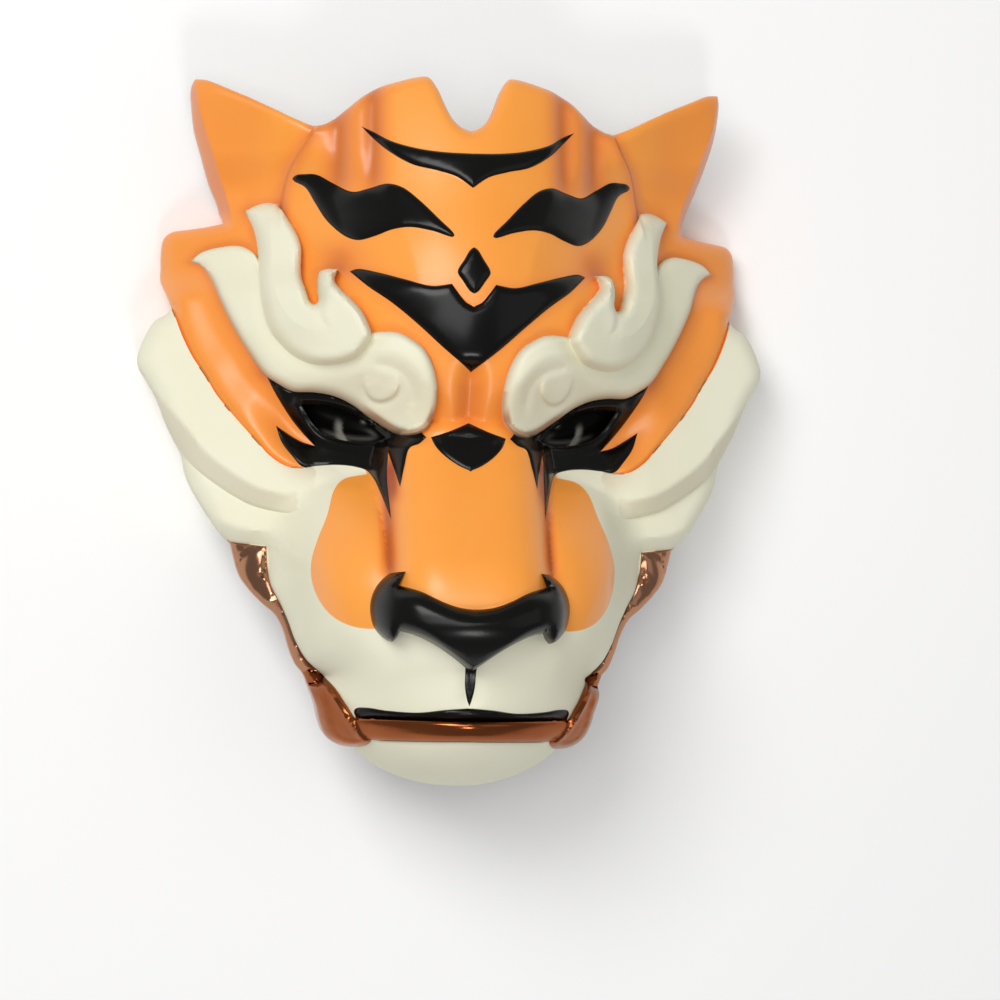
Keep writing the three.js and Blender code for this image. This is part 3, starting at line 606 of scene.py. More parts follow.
def rim_turn(a, y):
    """The radius with which the surface turns down at the rim, and the depth of the wall."""
    above = smoothstep(y, 110, 125)
    by_ear = smoothstep(a, 64, 72) * smoothstep(y, 98, 108)
    by_jaw = 1 - smoothstep(y, -56, -36)
    by_plate = 1 - smoothstep(y, -113, -105)
    near_arm = by_arm(a, y)
    zones = []
    for side, crown, ear, jaw, plate, arm in (TURN_RADIUS, TURN_WALL):
        value = lerp(side, crown, above)
        value = lerp(value, ear, by_ear)
        value = lerp(value, jaw, by_jaw)
        value = lerp(value, plate, by_plate)
        zones.append(lerp(value, arm, near_arm))
    return zones


def dome(a, y):
    """The broad form under the face."""
    crown = CROWN_LIFT * smoothstep(y, 100, 172)
    level = FACE_HEIGHT - SIDE_FALL * a * a - END_FALL * (y - HIGHEST_AT) ** 2
    return level + bulge(a, y, *FOREHEAD) + crown


def bridge_of_nose(a, y):
    """It narrows towards the brow, rises towards the nose and is rounded off at its sides."""
    across = a / np.maximum(BRIDGE_HALF - BRIDGE_TAPER * np.maximum(0, y + 4), 10)
    ahead = np.clip(-y, 0, BRIDGE_END)
    risen = ahead - np.maximum(0, ahead - BRIDGE_BENDS) ** 2 / 40
    level = BRIDGE_TOP + BRIDGE_RISE * risen - BRIDGE_SIDES * np.minimum(across, 2) ** 4
    return level - BRIDGE_BROW * smoothstep(y, 2, 20)


def face(a, y):
    """The face without its applied carving."""
    z = dome(a, y)
    for shape in (MUZZLE, CHIN, CHEEK_PAD, EYE_HOLLOW, EAR_DIP):
        z = z + bulge(a, y, *shape)
    flutes = sum(bell((a - place) / FLUTE_WIDTH) for place in FLUTES)
    z -= FLUTE_DEPTH * smoothstep(y, 104, 124) * flutes
    beyond = np.clip(a - PLANE_EDGE - PLANE_SPREAD * (y - PLANE_FOOT), 0, 25)
    z -= within(y, 62, 80, 112, 132) * (PLANE_SLOPE * a + BEYOND_SLOPE * beyond)
    z += cut(at_ear, a, y, -EAR_CREASE, 9, 5)
    z -= EAR_SLANT * smoothstep(y, 98, 106) * np.clip(at_ear_side(a, y)[0], 0, 8)
    z -= upright(a, y, *BROW_FURROW) + upright(a, y, *UNDER_NOSE)
    on_bridge = (y < 20) & (y > -BRIDGE_END)
    z = np.where(on_bridge, np.maximum(z, bridge_of_nose(a, y)), z)
    return z - upright(a, y, *BRIDGE_CREASE)


def fur(a, y):
    """How much the temple band and the locks of fur below it stand above the face there. The
    locks are flat planes that step down, each with a slanting face along its lower edge."""
    under, _ = at_band(a, y)
    fade = 1 - smoothstep(y, 84, 100)
    band = BAND_LIFT * shoulder(-under, 2.5) - BAND_FALL * smoothstep(-under, 2, 17)
    cos, sin = LOCK_LEAN
    outwards = cos * (a - LOCK_CORNER[0]) - sin * (y - LOCK_CORNER[1])
    upwards = sin * (a - LOCK_CORNER[0]) + cos * (y - LOCK_CORNER[1])
    above = -at_lock(a, y)[0]
    past, along = at_break(a, y)
    slant = 1 - np.clip(above / LOCK_FACE, 0, 1)
    drop = LOCK_STEP * (0.85 * slant + 0.15 * (1 - shoulder(above, 1.2)))
    drop += 0.1 * np.maximum(0, -above)
    drop += 0.9 * np.clip(past, 0, 10) * (1 - smoothstep(along, 0.7, 0.95))
    plane = LOCK_LEVEL - LOCK_SLOPE * upwards - LOCK_SIDE_SLOPE * outwards
    locks = smoothstep(a, 62, 90) * (plane - drop - face(a, y))
    return fade * np.where(under < 0, smoothstep(a, 66, 80) * band, locks)


def arm_strip(a, y):
    """The arm beside the muzzle."""
    cos, sin = BOSS_LEAN
    across = (a - BOSS[0]) * cos + (y - BOSS[1]) * sin
    along = (y - BOSS[1]) * cos - (a - BOSS[0]) * sin
    oval = np.hypot(across / BOSS_HALF[0], along / BOSS_HALF[1])
    boss = BOSS_LIFT * swell(oval, 0.7) + RING_LIFT * bell((oval - RING_OUT) / RING_WIDTH)
    inset = in_rim(a, y)
    ribs = smoothstep(-y, 70, 76) * sum(bell((inset - place) / RIB_WIDTH) for place in RIBS)
    return dome(a, y) - ARM_DROP + 2 * shoulder(in_arm(a, y), 3) + boss + RIB_LIFT * ribs


def eyebrow(a, y, plain):
    """The ribbon with its scroll, and the flame on top of it."""
    ribbon, flame = in_ribbon(a, y), in_flame(a, y)
    outer_end = lerp(1, 0.55, smoothstep(a, 90, 120))
    z = plain + RIBBON_LIFT * outer_end * shoulder(ribbon, RIBBON_EDGE)
    scroll = cut(at_knob, a, y, *KNOB_CUT) - groove(at_valley, a, y, *VALLEY_CUT)
    scroll += groove(at_ridge, a, y, *RIDGE_CUT) - FLAME_MOAT * bell(flame / 4)
    z += smoothstep(ribbon, 1, 4) * scroll
    tip = lerp(1, 0.6, smoothstep(y, 66, 104))
    over = plain + (RIBBON_LIFT + FLAME_LIFT) * tip * shoulder(flame, FLAME_EDGE)
    over += smoothstep(flame, 0, 4) * crest(at_fold, a, y, *FOLD_CREST)
    over += smoothstep(flame, 0, 2) * cut(at_crease, a, y, *CREASE_CUT)
    return np.where(flame > 0, np.maximum(z, over), z)


def with_nose(a, y, z):
    """The height with the nose on it, whose edge is steep below and soft above."""
    nose = in_nose(a, y)
    wing = np.maximum(0, a - NOSE_WING)
    top = NOSE_HEIGHT - NOSE_SIDE_FALL * a * a - NOSE_WING_FALL * wing ** 2
    fall = np.where(y < NOSE_PEAK, NOSE_LOWER_FALL, NOSE_UPPER_FALL)
    top = top - fall * (y - NOSE_PEAK) ** 2
    edge = shoulder(nose, lerp(2.8, 7, smoothstep(y, -92, -76)))
    return np.where(nose > 0, lerp(z, np.maximum(top, z + 2), edge), z)


ON_LINE = 0.15        # points on an outline lie this near to it


def form(a, y):
    """The moulded form as it is cast, but with no stripes."""
    radius, _ = rim_turn(a, y)
    inset = in_rim(a, y)
    turned = radius * (1 - shoulder(np.maximum(0, inset), radius))
    arm = in_arm(a, y)
    plain = face(a, y) + fur(a, y)
    foot = np.minimum(plain, dome(a, y) - ARM_DROP)
    plain = lerp(foot, plain, shoulder(-arm, lerp(9, 26, smoothstep(-y, 50, 62))))
    z = with_nose(a, y, eyebrow(a, y, plain))
    bar, plate = in_bar(a, y), in_plate(a, y)
    channel = CHANNEL_DEPTH * (1 - shoulder(-bar, CHANNEL_EDGE)) * smoothstep(-plate, 0, 6)
    z = z - np.where(bar < ON_LINE, channel, 0)
    z = z + np.maximum(BAR_LIFT * shoulder(bar, BAR_EDGE), PLATE_LIFT * shoulder(plate, PLATE_EDGE))
    bead = BEAD_LIFT * bell((np.minimum(plate, inset) - BEAD_INSET) / BEAD_WIDTH)
    z = z + np.where(plate > 0, bead, 0)
    return np.where((arm >= -ON_LINE) & (plate <= 0), arm_strip(a, y), z) - turned


def front(a, y):
    """Front of the shell, with the raised stripes and the lids round the eye hole."""
    free = np.minimum(1, np.maximum(0, -in_ribbon(a, y)) / 0.6)
    patch = in_patch(a, y)
    lids = np.where(patch > 0, LID_LIFT * bell((in_hole(a, y) + 2.4) / 1.6), 0)
    z = form(a, y) + free * (STRIPE_LIFT * shoulder(patch, PATCH_EDGE) + lids)
    for in_stripe in in_stripes:
        z += STRIPE_LIFT * shoulder(in_stripe(a, y), STRIPE_EDGE)
    metal = np.maximum(in_bar(a, y), in_plate(a, y)) > 0
    z += np.where(metal, 0, STRIPE_LIFT * shoulder(in_lip(a, y), LIP_EDGE))
    philtrum = PHILTRUM_LIFT * shoulder(in_philtrum(a, y), PHILTRUM_EDGE)
    return z + np.where(in_nose(a, y) > 0, 0, philtrum)


def rim_foot(a, y):
    """The lower edge of the wall."""
    radius, wall = rim_turn(a, y)
    level = lerp(face(a, y), dome(a, y) - ARM_DROP, by_arm(a, y))
    return np.maximum(0, level - radius - wall)


def hollow(a, y):
    """The hollow back, one wall thickness from the nearest place on the front."""
    z = form(a, y) - WALL
    # The front is read at twelve places on each of three circles round this one
    for part in (0.5, 0.87, 1):
        r = WALL * part
        for k in range(12):
            turn = k * math.pi / 6
            over = form(np.abs(a + r * math.cos(turn)), y + r * math.sin(turn))
            z = np.minimum(z, over - math.sqrt(max(0, WALL * WALL - r * r)))
    return z


def back(a, y):
    """Back of the shell: a flat rim with a rounded edge, and the hollow inside it."""
    foot = rim_foot(a, y)
    depth = in_rim(a, y)
    edge = foot + FOOT_LIFT * (1 - shoulder(depth, FOOT_ROUND))
    return np.where(depth < WALL - 0.5, edge, np.maximum(foot + 0.5, hollow(a, y)))


def tucked(x, y, z):
    """The side walls lean in towards the back rim."""
    a = np.abs(x)
    level = np.maximum(10, dome(a, y) - 12)
    lean = TUCK * smoothstep(a, 84, 118) * within(y, -60, -40, 92, 108)
    return x - np.sign(x) * lean * np.maximum(0, 1 - z / level) ** 2


class PointField:
    """Points kept a set distance apart. Earlier points win. A new point that is too near to
    one of them isn't added, and the number of that one is given back."""

    def __init__(self, cell=1.0):
        self.cell, self.points, self.grid = cell, [], {}

    def add(self, x, y, gap):
        cx, cy = int(x // self.cell), int(y // self.cell)
        r = int(gap / self.cell) + 1
        for i in range(cx - r, cx + r + 1):
            for j in range(cy - r, cy + r + 1):
                for k in self.grid.get((i, j), ()):
                    p = self.points[k]
                    if (p[0] - x) ** 2 + (p[1] - y) ** 2 < gap * gap:
                        return k
        self.points.append((x, y))
        self.grid.setdefault((cx, cy), []).append(len(self.points) - 1)
        return len(self.points) - 1


def beside(line, offset, closed=True):
    """The line moved sideways, to its left for a positive offset."""
    run = np.roll(line, -1, axis=0) - np.roll(line, 1, axis=0)
    if not closed:
        run[0], run[-1] = line[1] - line[0], line[-1] - line[-2]
    run /= np.maximum(np.hypot(*run.T), 1e-9)[:, None]
    return line + offset * np.stack([-run[:, 1], run[:, 0]], 1)


# The field of points covers this much, which is a little more than the outline
LOWEST = -165
HIGHEST = 172
WIDEST = 150


def triangulated(rim, holes, lines, loose, pitch, domain):
    """Triangles over a half outline. Lines are kept as edges; loose points and a field of
    staggered points fill the space between them."""
    field = PointField()
    edges = set()
    borders = [(line, True, False) for line in [rim] + holes]
    for line, closed, trim in borders + [(line, closed, True) for line, closed in lines]:
        keep = domain(line[:, 0], line[:, 1], 0.9) if trim else np.ones(len(line), bool)
        ids = [field.add(0.0 if abs(x) < 1e-6 else x, y, 0.3 if trim else 1e-4) if ok else None
               for (x, y), ok in zip(line, keep)]
        for i, j in zip(ids, ids[1:] + ([ids[0]] if closed else [])):
            if i is not None and j is not None and i != j:
                edges.add((min(i, j), max(i, j)))
    for line, gap in loose:
        keep = domain(line[:, 0], line[:, 1], gap * 0.8) & (line[:, 0] > 0.2)
        for (x, y), ok in zip(line, keep):
            if ok:
                field.add(x, y, gap)
    for n, y in enumerate(np.arange(LOWEST, HIGHEST, pitch * 0.866)):
        xs = np.arange(pitch / 2 if n % 2 else 0, WIDEST, pitch)
        for x, ok in zip(xs, domain(xs, np.full(len(xs), y), pitch * 0.5)):
            if ok:
                field.add(x, y, pitch * 0.62)
    points, _, faces, *_ = delaunay_2d_cdt(
        [Vector(p) for p in field.points], sorted(edges), [], 0, 1e-6)
    xy = np.array([p[:] for p in points])
    tris = np.array([f for f in faces if len(f) == 3])
    centre = xy[tris].mean(1)
    keep = inside(rim, centre[:, 0], centre[:, 1])
    for hole in holes:
        keep &= ~inside(hole, centre[:, 0], centre[:, 1])
    tris = tris[keep]
    p, q, r = (xy[tris[:, k]] for k in range(3))
    area = (q - p)[:, 0] * (r - p)[:, 1] - (q - p)[:, 1] * (r - p)[:, 0]
    tris[area < 0] = tris[area < 0][:, ::-1]
    return xy, tris[np.abs(area) > 1e-7]


def border(tris):
    """Directed edges that only one triangle has."""
    edges = np.concatenate([tris[:, [0, 1]], tris[:, [1, 2]], tris[:, [2, 0]]])
    known = set(map(tuple, edges.tolist()))
    return [(i, j) for i, j in known if (j, i) not in known]


FRONT_PITCH = 1.5
BACK_PITCH = 3.5
RIM_STEP = 1.3
HOLE_STEP = 0.9
LINE_STEP = 1.1
rim_line = draw_line(RIM, RIM_STEP)
hole_line = draw_line(EYE_HOLE, HOLE_STEP)


def on_shell(x, y, margin):
    x, y = np.asarray(x, float), np.asarray(y, float)
    return (in_rim(x, y) > margin) & (in_hole(x, y) < -margin)


steps = [draw_line(p, LINE_STEP) for p in (FLAME, RIBBON, NOSE, BAR, PLATE, ARM)]
stripes = [draw_line(p, LINE_STEP) for p in
           (EYE_PATCH, BIG_STRIPE, SMALL_DIAMOND, NOSE_DIAMOND, CRESCENT, WAVE, LIP, PHILTRUM)]
open_lines = [draw_line(p, LINE_STEP, closed=False) for p in
              (LOCK_FOOT, BAND_EDGE, SCROLL_KNOB, SCROLL_VALLEY, FLAME_FOLD, EAR_FOLD,
               EAR_SIDE)]
cream_line = draw_line(CREAM, LINE_STEP)
kept = [(line, True) for line in steps + stripes + [cream_line]]
kept += [(line, False) for line in open_lines]

# Rows of points beside each line, so that its rounded edge is smooth: offset and gap
RIM_ROWS = ((0.4, 0.35), (1.1, 0.6), (2.2, 0.8))
HOLE_ROWS = ((0.5, 0.5), (1.1, 0.5), (1.8, 0.5), (2.6, 0.5), (3.5, 0.5))
STEP_ROWS = ((0.35, 0.28), (1.0, 0.5), (2.1, 0.8), (3.4, 0.9))
STRIPE_ROWS = ((0.3, 0.26), (0.9, 0.5), (1.8, 0.8))
loose = [(beside(rim_line, -offset), gap) for offset, gap in RIM_ROWS]
for side in (1, -1):
    loose += [(beside(hole_line, side * offset), gap) for offset, gap in HOLE_ROWS]
for offset, gap in STEP_ROWS:
    for lines, closed in ((steps, True), (open_lines, False)):
        loose += [(beside(line, side * offset, closed), gap) for line in lines for side in (1, -1)]
for offset, gap in STRIPE_ROWS:
    loose += [(beside(line, side * offset), gap) for line in stripes for side in (1, -1)]
front_xy, front_tris = triangulated(rim_line, [hole_line], kept, loose, FRONT_PITCH, on_shell)
front_z = front(front_xy[:, 0], front_xy[:, 1])

BACK_ROWS = ((0.45, 0.4), (0.9, 0.4), (WALL - 0.8, 0.9), (WALL + 0.4, 0.7), (WALL + 2, 1.5))
ARM_ROWS = (0, 1, -1, 2.2, -2.2, -4, -5.5, -7, -9)
inner = [(beside(rim_line, -offset), gap) for offset, gap in BACK_ROWS]
inner += [(beside(draw_line(ARM, 2), offset), 0.8) for offset in ARM_ROWS]
back_xy, back_tris = triangulated(rim_line, [hole_line], [], inner, BACK_PITCH, on_shell)
back_z = back(back_xy[:, 0], back_xy[:, 1])

# The front, the back and the wall between them, first on the right-hand half
WALL_LEVELS = 5
places = [np.column_stack([front_xy, front_z]), np.column_stack([back_xy, back_z])]
first_back = len(front_xy)
next_free = first_back + len(back_xy)


def rounded(place):
    """The place to a thousandth of a millimetre, by which the front and the back are matched."""
    return round(place[0], 3), round(place[1], 3)


back_at = {rounded(p): first_back + i for i, p in enumerate(back_xy)}
half_faces = [(tri, 0) for tri in front_tris.tolist()]
half_faces += [([a + first_back for a in tri[::-1]], 1) for tri in back_tris.tolist()]
ladder = {}
for i, j in border(front_tris):
    if front_xy[i, 0] < 1e-6 and front_xy[j, 0] < 1e-6:
        continue
    for k in (i, j):
        if k not in ladder:
            foot = back_at[rounded(front_xy[k])]
            share = np.linspace(0, 1, WALL_LEVELS + 1)[1:-1]
            rungs = np.tile(places[0][k], (len(share), 1))
            rungs[:, 2] = lerp(front_z[k], back_z[foot - first_back], share)
            places.append(rungs)
            ladder[k] = [k] + list(range(next_free, next_free + len(share))) + [foot]
            next_free += len(share)
    for (a, b), (c, d) in zip(zip(ladder[i], ladder[i][1:]), zip(ladder[j], ladder[j][1:])):
        half_faces.append(([a, b, d, c], 2))
half = np.concatenate(places)

# Both halves, welded on the middle line
middle = half[:, 0] < 1e-6
mirror = np.arange(len(half)) + len(half)
mirror[middle] = np.flatnonzero(middle)
number = np.full(2 * len(half), -1)
used = np.concatenate([np.ones(len(half), bool), ~middle])
number[used] = np.arange(used.sum())
drawn = np.concatenate([half, half * (-1, 1, 1)])[used]
points = drawn.copy()
points[:, 0] = tucked(*drawn.T)
points[:, 1] -= ZERO_LINE
faces, sides = [], []
for corners, side in half_faces:
    faces.append([int(number[c]) for c in corners])
    faces.append([int(number[mirror[c]]) for c in reversed(corners)])
    sides += [side, side]

SHELL_CREASE = 38        # degrees above which an edge is drawn sharp
shell_mesh = bpy.data.meshes.new("mask_shell_painted")
shell_mesh.from_pydata((points * MM).tolist(), [], faces)
shell_mesh.validate()
shell_mesh.polygons.foreach_set("use_smooth", np.ones(len(shell_mesh.polygons), bool))
shell_mesh.set_sharp_from_angle(angle=math.radians(SHELL_CREASE))

# Which paint each face has. Faces are cut along the paint's edges, so a face has one paint.
# Black runs round the eye hole's edge, on the front and further on the back.
ORANGE, CREAM_PAINT, BLACK, COPPER, BARE = range(5)
BLACK_BEFORE = 1.6
BLACK_BEHIND = 6
corner_count = np.array([len(f) for f in faces])
flat = np.concatenate([np.array(f) for f in faces])
owner = np.repeat(np.arange(len(faces)), corner_count)
middle_x = np.bincount(owner, np.abs(drawn[flat, 0])) / corner_count
middle_y = np.bincount(owner, drawn[flat, 1]) / corner_count
paint = np.where(in_cream(middle_x, middle_y) > 0, CREAM_PAINT, ORANGE)
raised = np.maximum(in_ribbon(middle_x, middle_y), in_flame(middle_x, middle_y)) > 0
black = (in_patch(middle_x, middle_y) > 0) & ~raised
for in_stripe in in_stripes + [in_nose, in_lip, in_philtrum]:
    black |= in_stripe(middle_x, middle_y) > 0
paint[raised] = CREAM_PAINT
paint[black] = BLACK
for in_metal in (in_bar, in_plate, in_arm):
    paint[in_metal(middle_x, middle_y) > 0] = COPPER
sides = np.array(sides)
paint[sides == 1] = BARE
paint[in_hole(middle_x, middle_y) > np.where(sides > 0, -BLACK_BEHIND, -BLACK_BEFORE)] = BLACK
shell_mesh.polygons.foreach_set("material_index", paint.astype(np.int32))

# How much red-orange is misted over each place: in the creases beside the brows and stripes,
# along the nose and on the folds of the forehead. It is partly airbrushed colour and partly painted
# shade, darker where shade falls in creases and folds and on faces that turn from the light. On the
# copper it is a painted reflection that makes the arms lighter, as if they caught the pale
# surround.
BRIDGE_SHADE_MIST = (35.5, 2.8, 0.85, -70, -56, -16, -4)
INNER_MIST = (32.5, 2.5, 0.6, -32, -22, -9, -4)
FURROW_SHADE_MIST = (0, 9, 0.55, -2, 12, 22, 34)
ARM_PAINTED_SHEEN = 0.45
a, y = np.abs(drawn[:, 0]), drawn[:, 1]
ribbon_depth, flame_depth = in_ribbon(a, y), in_flame(a, y)
under_brow = np.minimum(-ribbon_depth, -flame_depth)
# Painted shade, partly airbrushed: in the crease just outside the brows, beside the bridge and down
# the brow's furrow; the red in the crease under each eye is airbrushed colour
mist_and_painted_light = 0.3 * bell(np.maximum(0, under_brow) / 3)
for line in (BRIDGE_SHADE_MIST, INNER_MIST, FURROW_SHADE_MIST):
    mist_and_painted_light += upright(a, y, *line)
# A red-orange patch beside the hook of the flame
mist_and_painted_light += 0.55 * bell(np.hypot(a - 57, y - 80) / 8.5)
# Painted shade: on the folds of the forehead, on the ear's slanting side and along the temple band,
# which turn from the light, and in the fold at the ear, outside the eye patch and round the big
# stripe
mist_and_painted_light += 0.68 * (bell((a - FLUTES[0]) / 6) + bell((a - FLUTES[1]) / 7)) * smoothstep(y, 96, 120)
mist_and_painted_light += 0.3 * smoothstep(at_ear_side(a, y)[0], -0.4, 0.6) * smoothstep(y, 98, 106)
mist_and_painted_light += 0.18 * smoothstep(-at_band(a, y)[0], 0, 1.5) * smoothstep(a, 84, 98)
mist_and_painted_light += 0.45 * bell(at_ear(a, y)[0] / 4)
mist_and_painted_light += 0.3 * bell(np.maximum(0, -in_patch(a, y)) / 7) * (a > 66)
mist_and_painted_light += 0.2 * bell(np.maximum(0, -in_stripes[0](a, y)) / 3)

# On the cream it is painted shade: along the ribbon's lower edge, where it is partly airbrushed
# too, under the scroll and on the slanting faces of the locks, which turn from the light
lower_side = y < 33 + np.where(a < 60, 0.27, 0.8) * (a - 60)
under_scroll = 0.8 * (1 - smoothstep(ribbon_depth, 2, 3.4)) * (1 - smoothstep(y, 9, 17))
under_edge = np.maximum(0.5 * bell(ribbon_depth / 1.5) * lower_side, under_scroll)
mist_and_painted_light = np.where((ribbon_depth > 0) & (flame_depth <= 0), under_edge, mist_and_painted_light)
mist_and_painted_light = np.where(flame_depth > 0, 0, mist_and_painted_light)
on_slant = within(-at_lock(a, y)[0], 0, 1, LOCK_FACE - 1, LOCK_FACE + 1)
mist_and_painted_light += 0.16 * on_slant * (a > 74) * (y < 20)
# Painted reflection: the copper arms are drawn lighter, as if they caught the pale surround
mist_and_painted_light = np.where((in_arm(a, y) > 0) & (in_plate(a, y) <= 0), ARM_PAINTED_SHEEN, mist_and_painted_light)
mist_and_painted_light = np.where((in_bar(a, y) > 0) | (in_plate(a, y) > 0), 0, mist_and_painted_light)
mist_and_painted_light_layer = shell_mesh.attributes.new("airbrush_and_painted_light", 'FLOAT', 'POINT')
mist_and_painted_light_layer.data.foreach_set("value", np.clip(mist_and_painted_light, 0, 1).astype(np.float32))

# Acrylic paint over primer, put on with a spray gun, with a satin clear coat. It gives the orange a
# broad soft highlight and leaves the cream nearly matt. The film under it drifts a little in
# colour, and its grain is drawn coarser than the real one, which is too fine to show. The misted
# colour mixed in is partly airbrushed and partly painted shade.
DRIFT_SIZE = 71.4
GRAIN_SIZE = 1.11
FILM_DEPTH = 0.2


def sprayed_paint(name, colours, roughness, mottle, coat=0.0, grain=0.06, mist_and_shade_colours=None,
                  specular=0.5):
    material, tree = new_material(name)
    place = add(tree, "ShaderNodeTexCoord")
    drift = add(tree, "ShaderNodeTexNoise",
                {"Scale": 1 / (DRIFT_SIZE * MM), "Detail": 3.0, "Roughness": 0.55},
                {"Vector": place.outputs["Object"]})
    spread = add(tree, "ShaderNodeValToRGB", links={"Fac": drift.outputs["Fac"]})
    for element, position, colour in zip(spread.color_ramp.elements, (0.3, 0.7), colours):
        element.position = position
        element.color = linear(colour)
    colour = spread.outputs["Color"]
    # Mixed in from the attribute: misted red-orange, partly airbrushed and partly painted shade
    if mist_and_shade_colours:
        amount = add(tree, "ShaderNodeAttribute", {"attribute_name": "airbrush_and_painted_light"})
        mist_and_shade_tone = add(tree, "ShaderNodeValToRGB", links={"Fac": amount.outputs["Fac"]})
        for element, position, mist_and_shade_colour in zip(mist_and_shade_tone.color_ramp.elements, (0.3, 0.75),
                                                  mist_and_shade_colours):
            element.position = position
            element.color = linear(mist_and_shade_colour)
        mixed = add(tree, "ShaderNodeMix", {"data_type": 'RGBA'},
                    {0: amount.outputs["Fac"], 6: colour, 7: mist_and_shade_tone.outputs["Color"]})
        colour = mixed.outputs[2]
    speck = add(tree, "ShaderNodeTexNoise", {"Scale": 1 / (GRAIN_SIZE * MM), "Detail": 2.0},
                {"Vector": place.outputs["Object"]})
    uneven = add(tree, "ShaderNodeMapRange", {
        "From Min": 0.3, "From Max": 0.7,
        "To Min": roughness - mottle, "To Max": roughness + mottle},
        {"Value": drift.outputs["Fac"]})
    film = add(tree, "ShaderNodeBump", {"Strength": grain, "Distance": FILM_DEPTH * MM},
               {"Height": speck.outputs["Fac"]})
    skin = add(tree, "ShaderNodeBsdfPrincipled", {
        "Coat Weight": coat, "Coat Roughness": 0.3, "Specular IOR Level": specular},
        {"Base Color": colour, "Roughness": uneven.outputs["Result"],
         "Normal": film.outputs["Normal"]})
    add(tree, "ShaderNodeOutputMaterial", links={"Surface": skin.outputs[0]})
    return material


# On the orange the misted colour is partly airbrushed red and partly painted shade; on the cream it
# is brown painted shade, partly airbrushed at the ribbon's lower edge
orange_paint = sprayed_paint(
    "orange acrylic, satin clear coat", ("#F89A36", "#FBA242"), 0.5, 0.04,
    coat=0.6, mist_and_shade_colours=("#DE6228", "#B04C24"), specular=0.3)
cream_paint = sprayed_paint(
    "cream acrylic, satin clear coat", ("#E5E2C6", "#EBE8D1"), 0.55, 0.04,
    mist_and_shade_colours=("#B08258", "#A97850"), specular=0.25)
# Gloss enamel on the nose, stripes and lip: smooth and nearly black, with clear highlights
black_paint = sprayed_paint(
    "black gloss enamel", ("#080706", "#0C0B09"), 0.22, 0.04, grain=0.02, specular=0.22)
# The inside is left bare: dull, a little rough, as it comes from the mould
inside_paint = sprayed_paint(
    "bare cast resin inside", ("#B8AE9A", "#C4BBA8"), 0.7, 0.05, grain=0.3)

# Copper lacquer: metal flake in clear, so it shines like metal but a little broken. Its colour is
# cloudy, and on the arms a painted reflection makes it lighter, as if they caught the pale
# surround.
# The flake is drawn coarser than it is, so that it shows.
CLOUD_SIZE = 33.3
FLAKE_SIZE = 0.714
copper_paint, tree = new_material("copper metallic lacquer")
object_place = add(tree, "ShaderNodeTexCoord")
flake = add(tree, "ShaderNodeTexNoise", {"Scale": 1 / (FLAKE_SIZE * MM), "Detail": 1.0},
            {"Vector": object_place.outputs["Object"]})
cloud = add(tree, "ShaderNodeTexNoise", {"Scale": 1 / (CLOUD_SIZE * MM), "Detail": 3.0},
            {"Vector": object_place.outputs["Object"]})
tone = add(tree, "ShaderNodeValToRGB", links={"Fac": cloud.outputs["Fac"]})
for element, colour in zip(tone.color_ramp.elements, ("#7C3C1A", "#A2582A")):
    element.color = linear(colour)
# Painted reflection: where the attribute is high, on the arms, the copper is drawn lighter
painted_arm_sheen = add(tree, "ShaderNodeAttribute", {"attribute_name": "airbrush_and_painted_light"})
metal = add(tree, "ShaderNodeMix", {"data_type": 'RGBA', 7: linear("#C8A184")},
            {0: painted_arm_sheen.outputs["Fac"], 6: tone.outputs["Color"]})
broken = add(tree, "ShaderNodeBump", {"Strength": 0.08, "Distance": FILM_DEPTH * MM},
             {"Height": flake.outputs["Fac"]})
lacquer = add(tree, "ShaderNodeBsdfPrincipled", {
    "Metallic": 1.0, "Roughness": 0.2, "Coat Weight": 0.25, "Coat Roughness": 0.12,
    "Specular Tint": linear("#EBCFBC")},
    {"Base Color": metal.outputs[2], "Normal": broken.outputs["Normal"]})
add(tree, "ShaderNodeOutputMaterial", links={"Surface": lacquer.outputs[0]})

for material in (orange_paint, cream_paint, black_paint, copper_paint, inside_paint):
    shell_mesh.materials.append(material)
shell = mesh_object("mask_shell_painted", shell_mesh)
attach(shell, "root")
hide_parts("mask_shell")

# Lenses
# A dark moulded eye, 2.5 mm thick, is glued behind each eye hole. It bulges into the hole and is
# painted and clear coated: a black iris on a nearly black ground, with a crescent, a glint and a
# line along the lower lid painted on in light grey as highlights.
LENS = [
    (80, 19), (66, 21.5), (48, 18), (35, 11), (27.5, 1), (34, -7.5), (52, -8.5), (68, -3.5),
    (79, 7),
]
LENS_WALL = 2.5
LENS_GAP = 1.2
LENS_BULGE = 4.6
LENS_STEP = 1.4
LENS_PITCH = 1.1
LENS_CREASE = 50
IRIS = (45.5, 5)
IRIS_RADIUS = 7.2
IRIS_LIFT = 1.1
GLINT = (44.2, 7.8)

lens_depth = region(LENS)


def in_lens(x, y, margin):
    return lens_depth(x, y) > margin


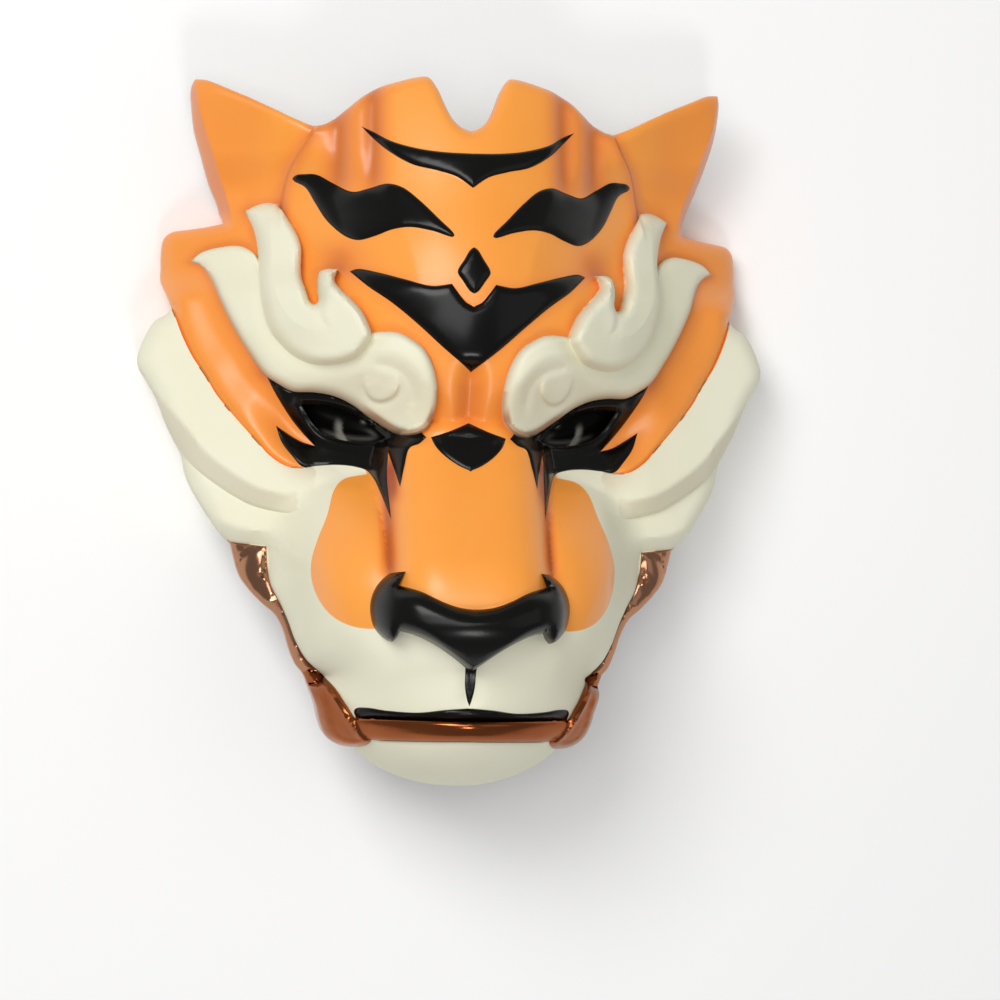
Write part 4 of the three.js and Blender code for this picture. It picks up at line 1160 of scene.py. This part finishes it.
lens_xy, lens_tris = triangulated(draw_line(LENS, LENS_STEP), [], [], [], LENS_PITCH, in_lens)
x, y = lens_xy.T
from_iris = np.hypot(x - IRIS[0], y - IRIS[1])
hole_depth = in_hole(x, y)
level = hollow(x, y) - LENS_GAP + LENS_BULGE * smoothstep(hole_depth, -1, 8.5)
level += IRIS_LIFT * swell(np.minimum(1, from_iris / (IRIS_RADIUS + 0.6)), 0.8)
lens_half = np.concatenate([np.column_stack([x, y, level]),
                            np.column_stack([x, y, level - LENS_WALL])])
count = len(lens_xy)
lens_faces = lens_tris.tolist() + [[c + count for c in t[::-1]] for t in lens_tris.tolist()]
lens_faces += [[i, i + count, j + count, j] for i, j in border(lens_tris)]

# Painted highlights on the eye, where it would catch the light: a crescent outside the iris, low
# on its outer side, a small glint on the iris and a thin line along the lower lid
outer_low = 0.72 * (x - IRIS[0]) - 0.69 * (y - IRIS[1])
painted_eye_highlights = within(from_iris, 7.8, 8.8, 9.2, 12.5) * smoothstep(outer_low, 3.5, 8.5)
painted_eye_highlights += bell(np.hypot(x - GLINT[0], y - GLINT[1]))
lid_line = bell((hole_depth - 1.8) / 0.9) * smoothstep(5 - y, 0, 4) * smoothstep(x, 36, 42)
painted_eye_highlights += 0.35 * lid_line

# Paint under a polished clear coat, in the shade of the lids: dark, with hardly any reflection.
# Its light grey marks are painted highlights.
eye, tree = new_material("painted eye under polished clear coat")
ring_node = add(tree, "ShaderNodeAttribute", {"attribute_name": "painted_eye_highlights"})
eye_highlight_tone = add(tree, "ShaderNodeValToRGB", links={"Fac": ring_node.outputs["Fac"]})
for element, colour in zip(eye_highlight_tone.color_ramp.elements, ("#0A0908", "#98948A")):
    element.color = linear(colour)
depths = add(tree, "ShaderNodeBsdfPrincipled", {"Roughness": 0.3, "Specular IOR Level": 0.03},
             {"Base Color": eye_highlight_tone.outputs["Color"]})
add(tree, "ShaderNodeOutputMaterial", links={"Surface": depths.outputs[0]})
for node, side in (("lens_left", -1), ("lens_right", 1)):
    places = lens_half * (side, 1, 1) - (0, ZERO_LINE, 0)
    lens_mesh = bpy.data.meshes.new(node + "_painted")
    turned = lens_faces if side > 0 else [f[::-1] for f in lens_faces]
    lens_mesh.from_pydata((places * MM).tolist(), [], turned)
    lens_mesh.polygons.foreach_set("use_smooth", np.ones(len(lens_mesh.polygons), bool))
    lens_mesh.set_sharp_from_angle(angle=math.radians(LENS_CREASE))
    ring = lens_mesh.attributes.new("painted_eye_highlights", 'FLOAT', 'POINT')
    ring.data.foreach_set("value", np.tile(painted_eye_highlights, 2).astype(np.float32))
    lens_mesh.materials.append(eye)
    piece = mesh_object(node + "_painted", lens_mesh)
    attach(piece, "root")
    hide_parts(node)
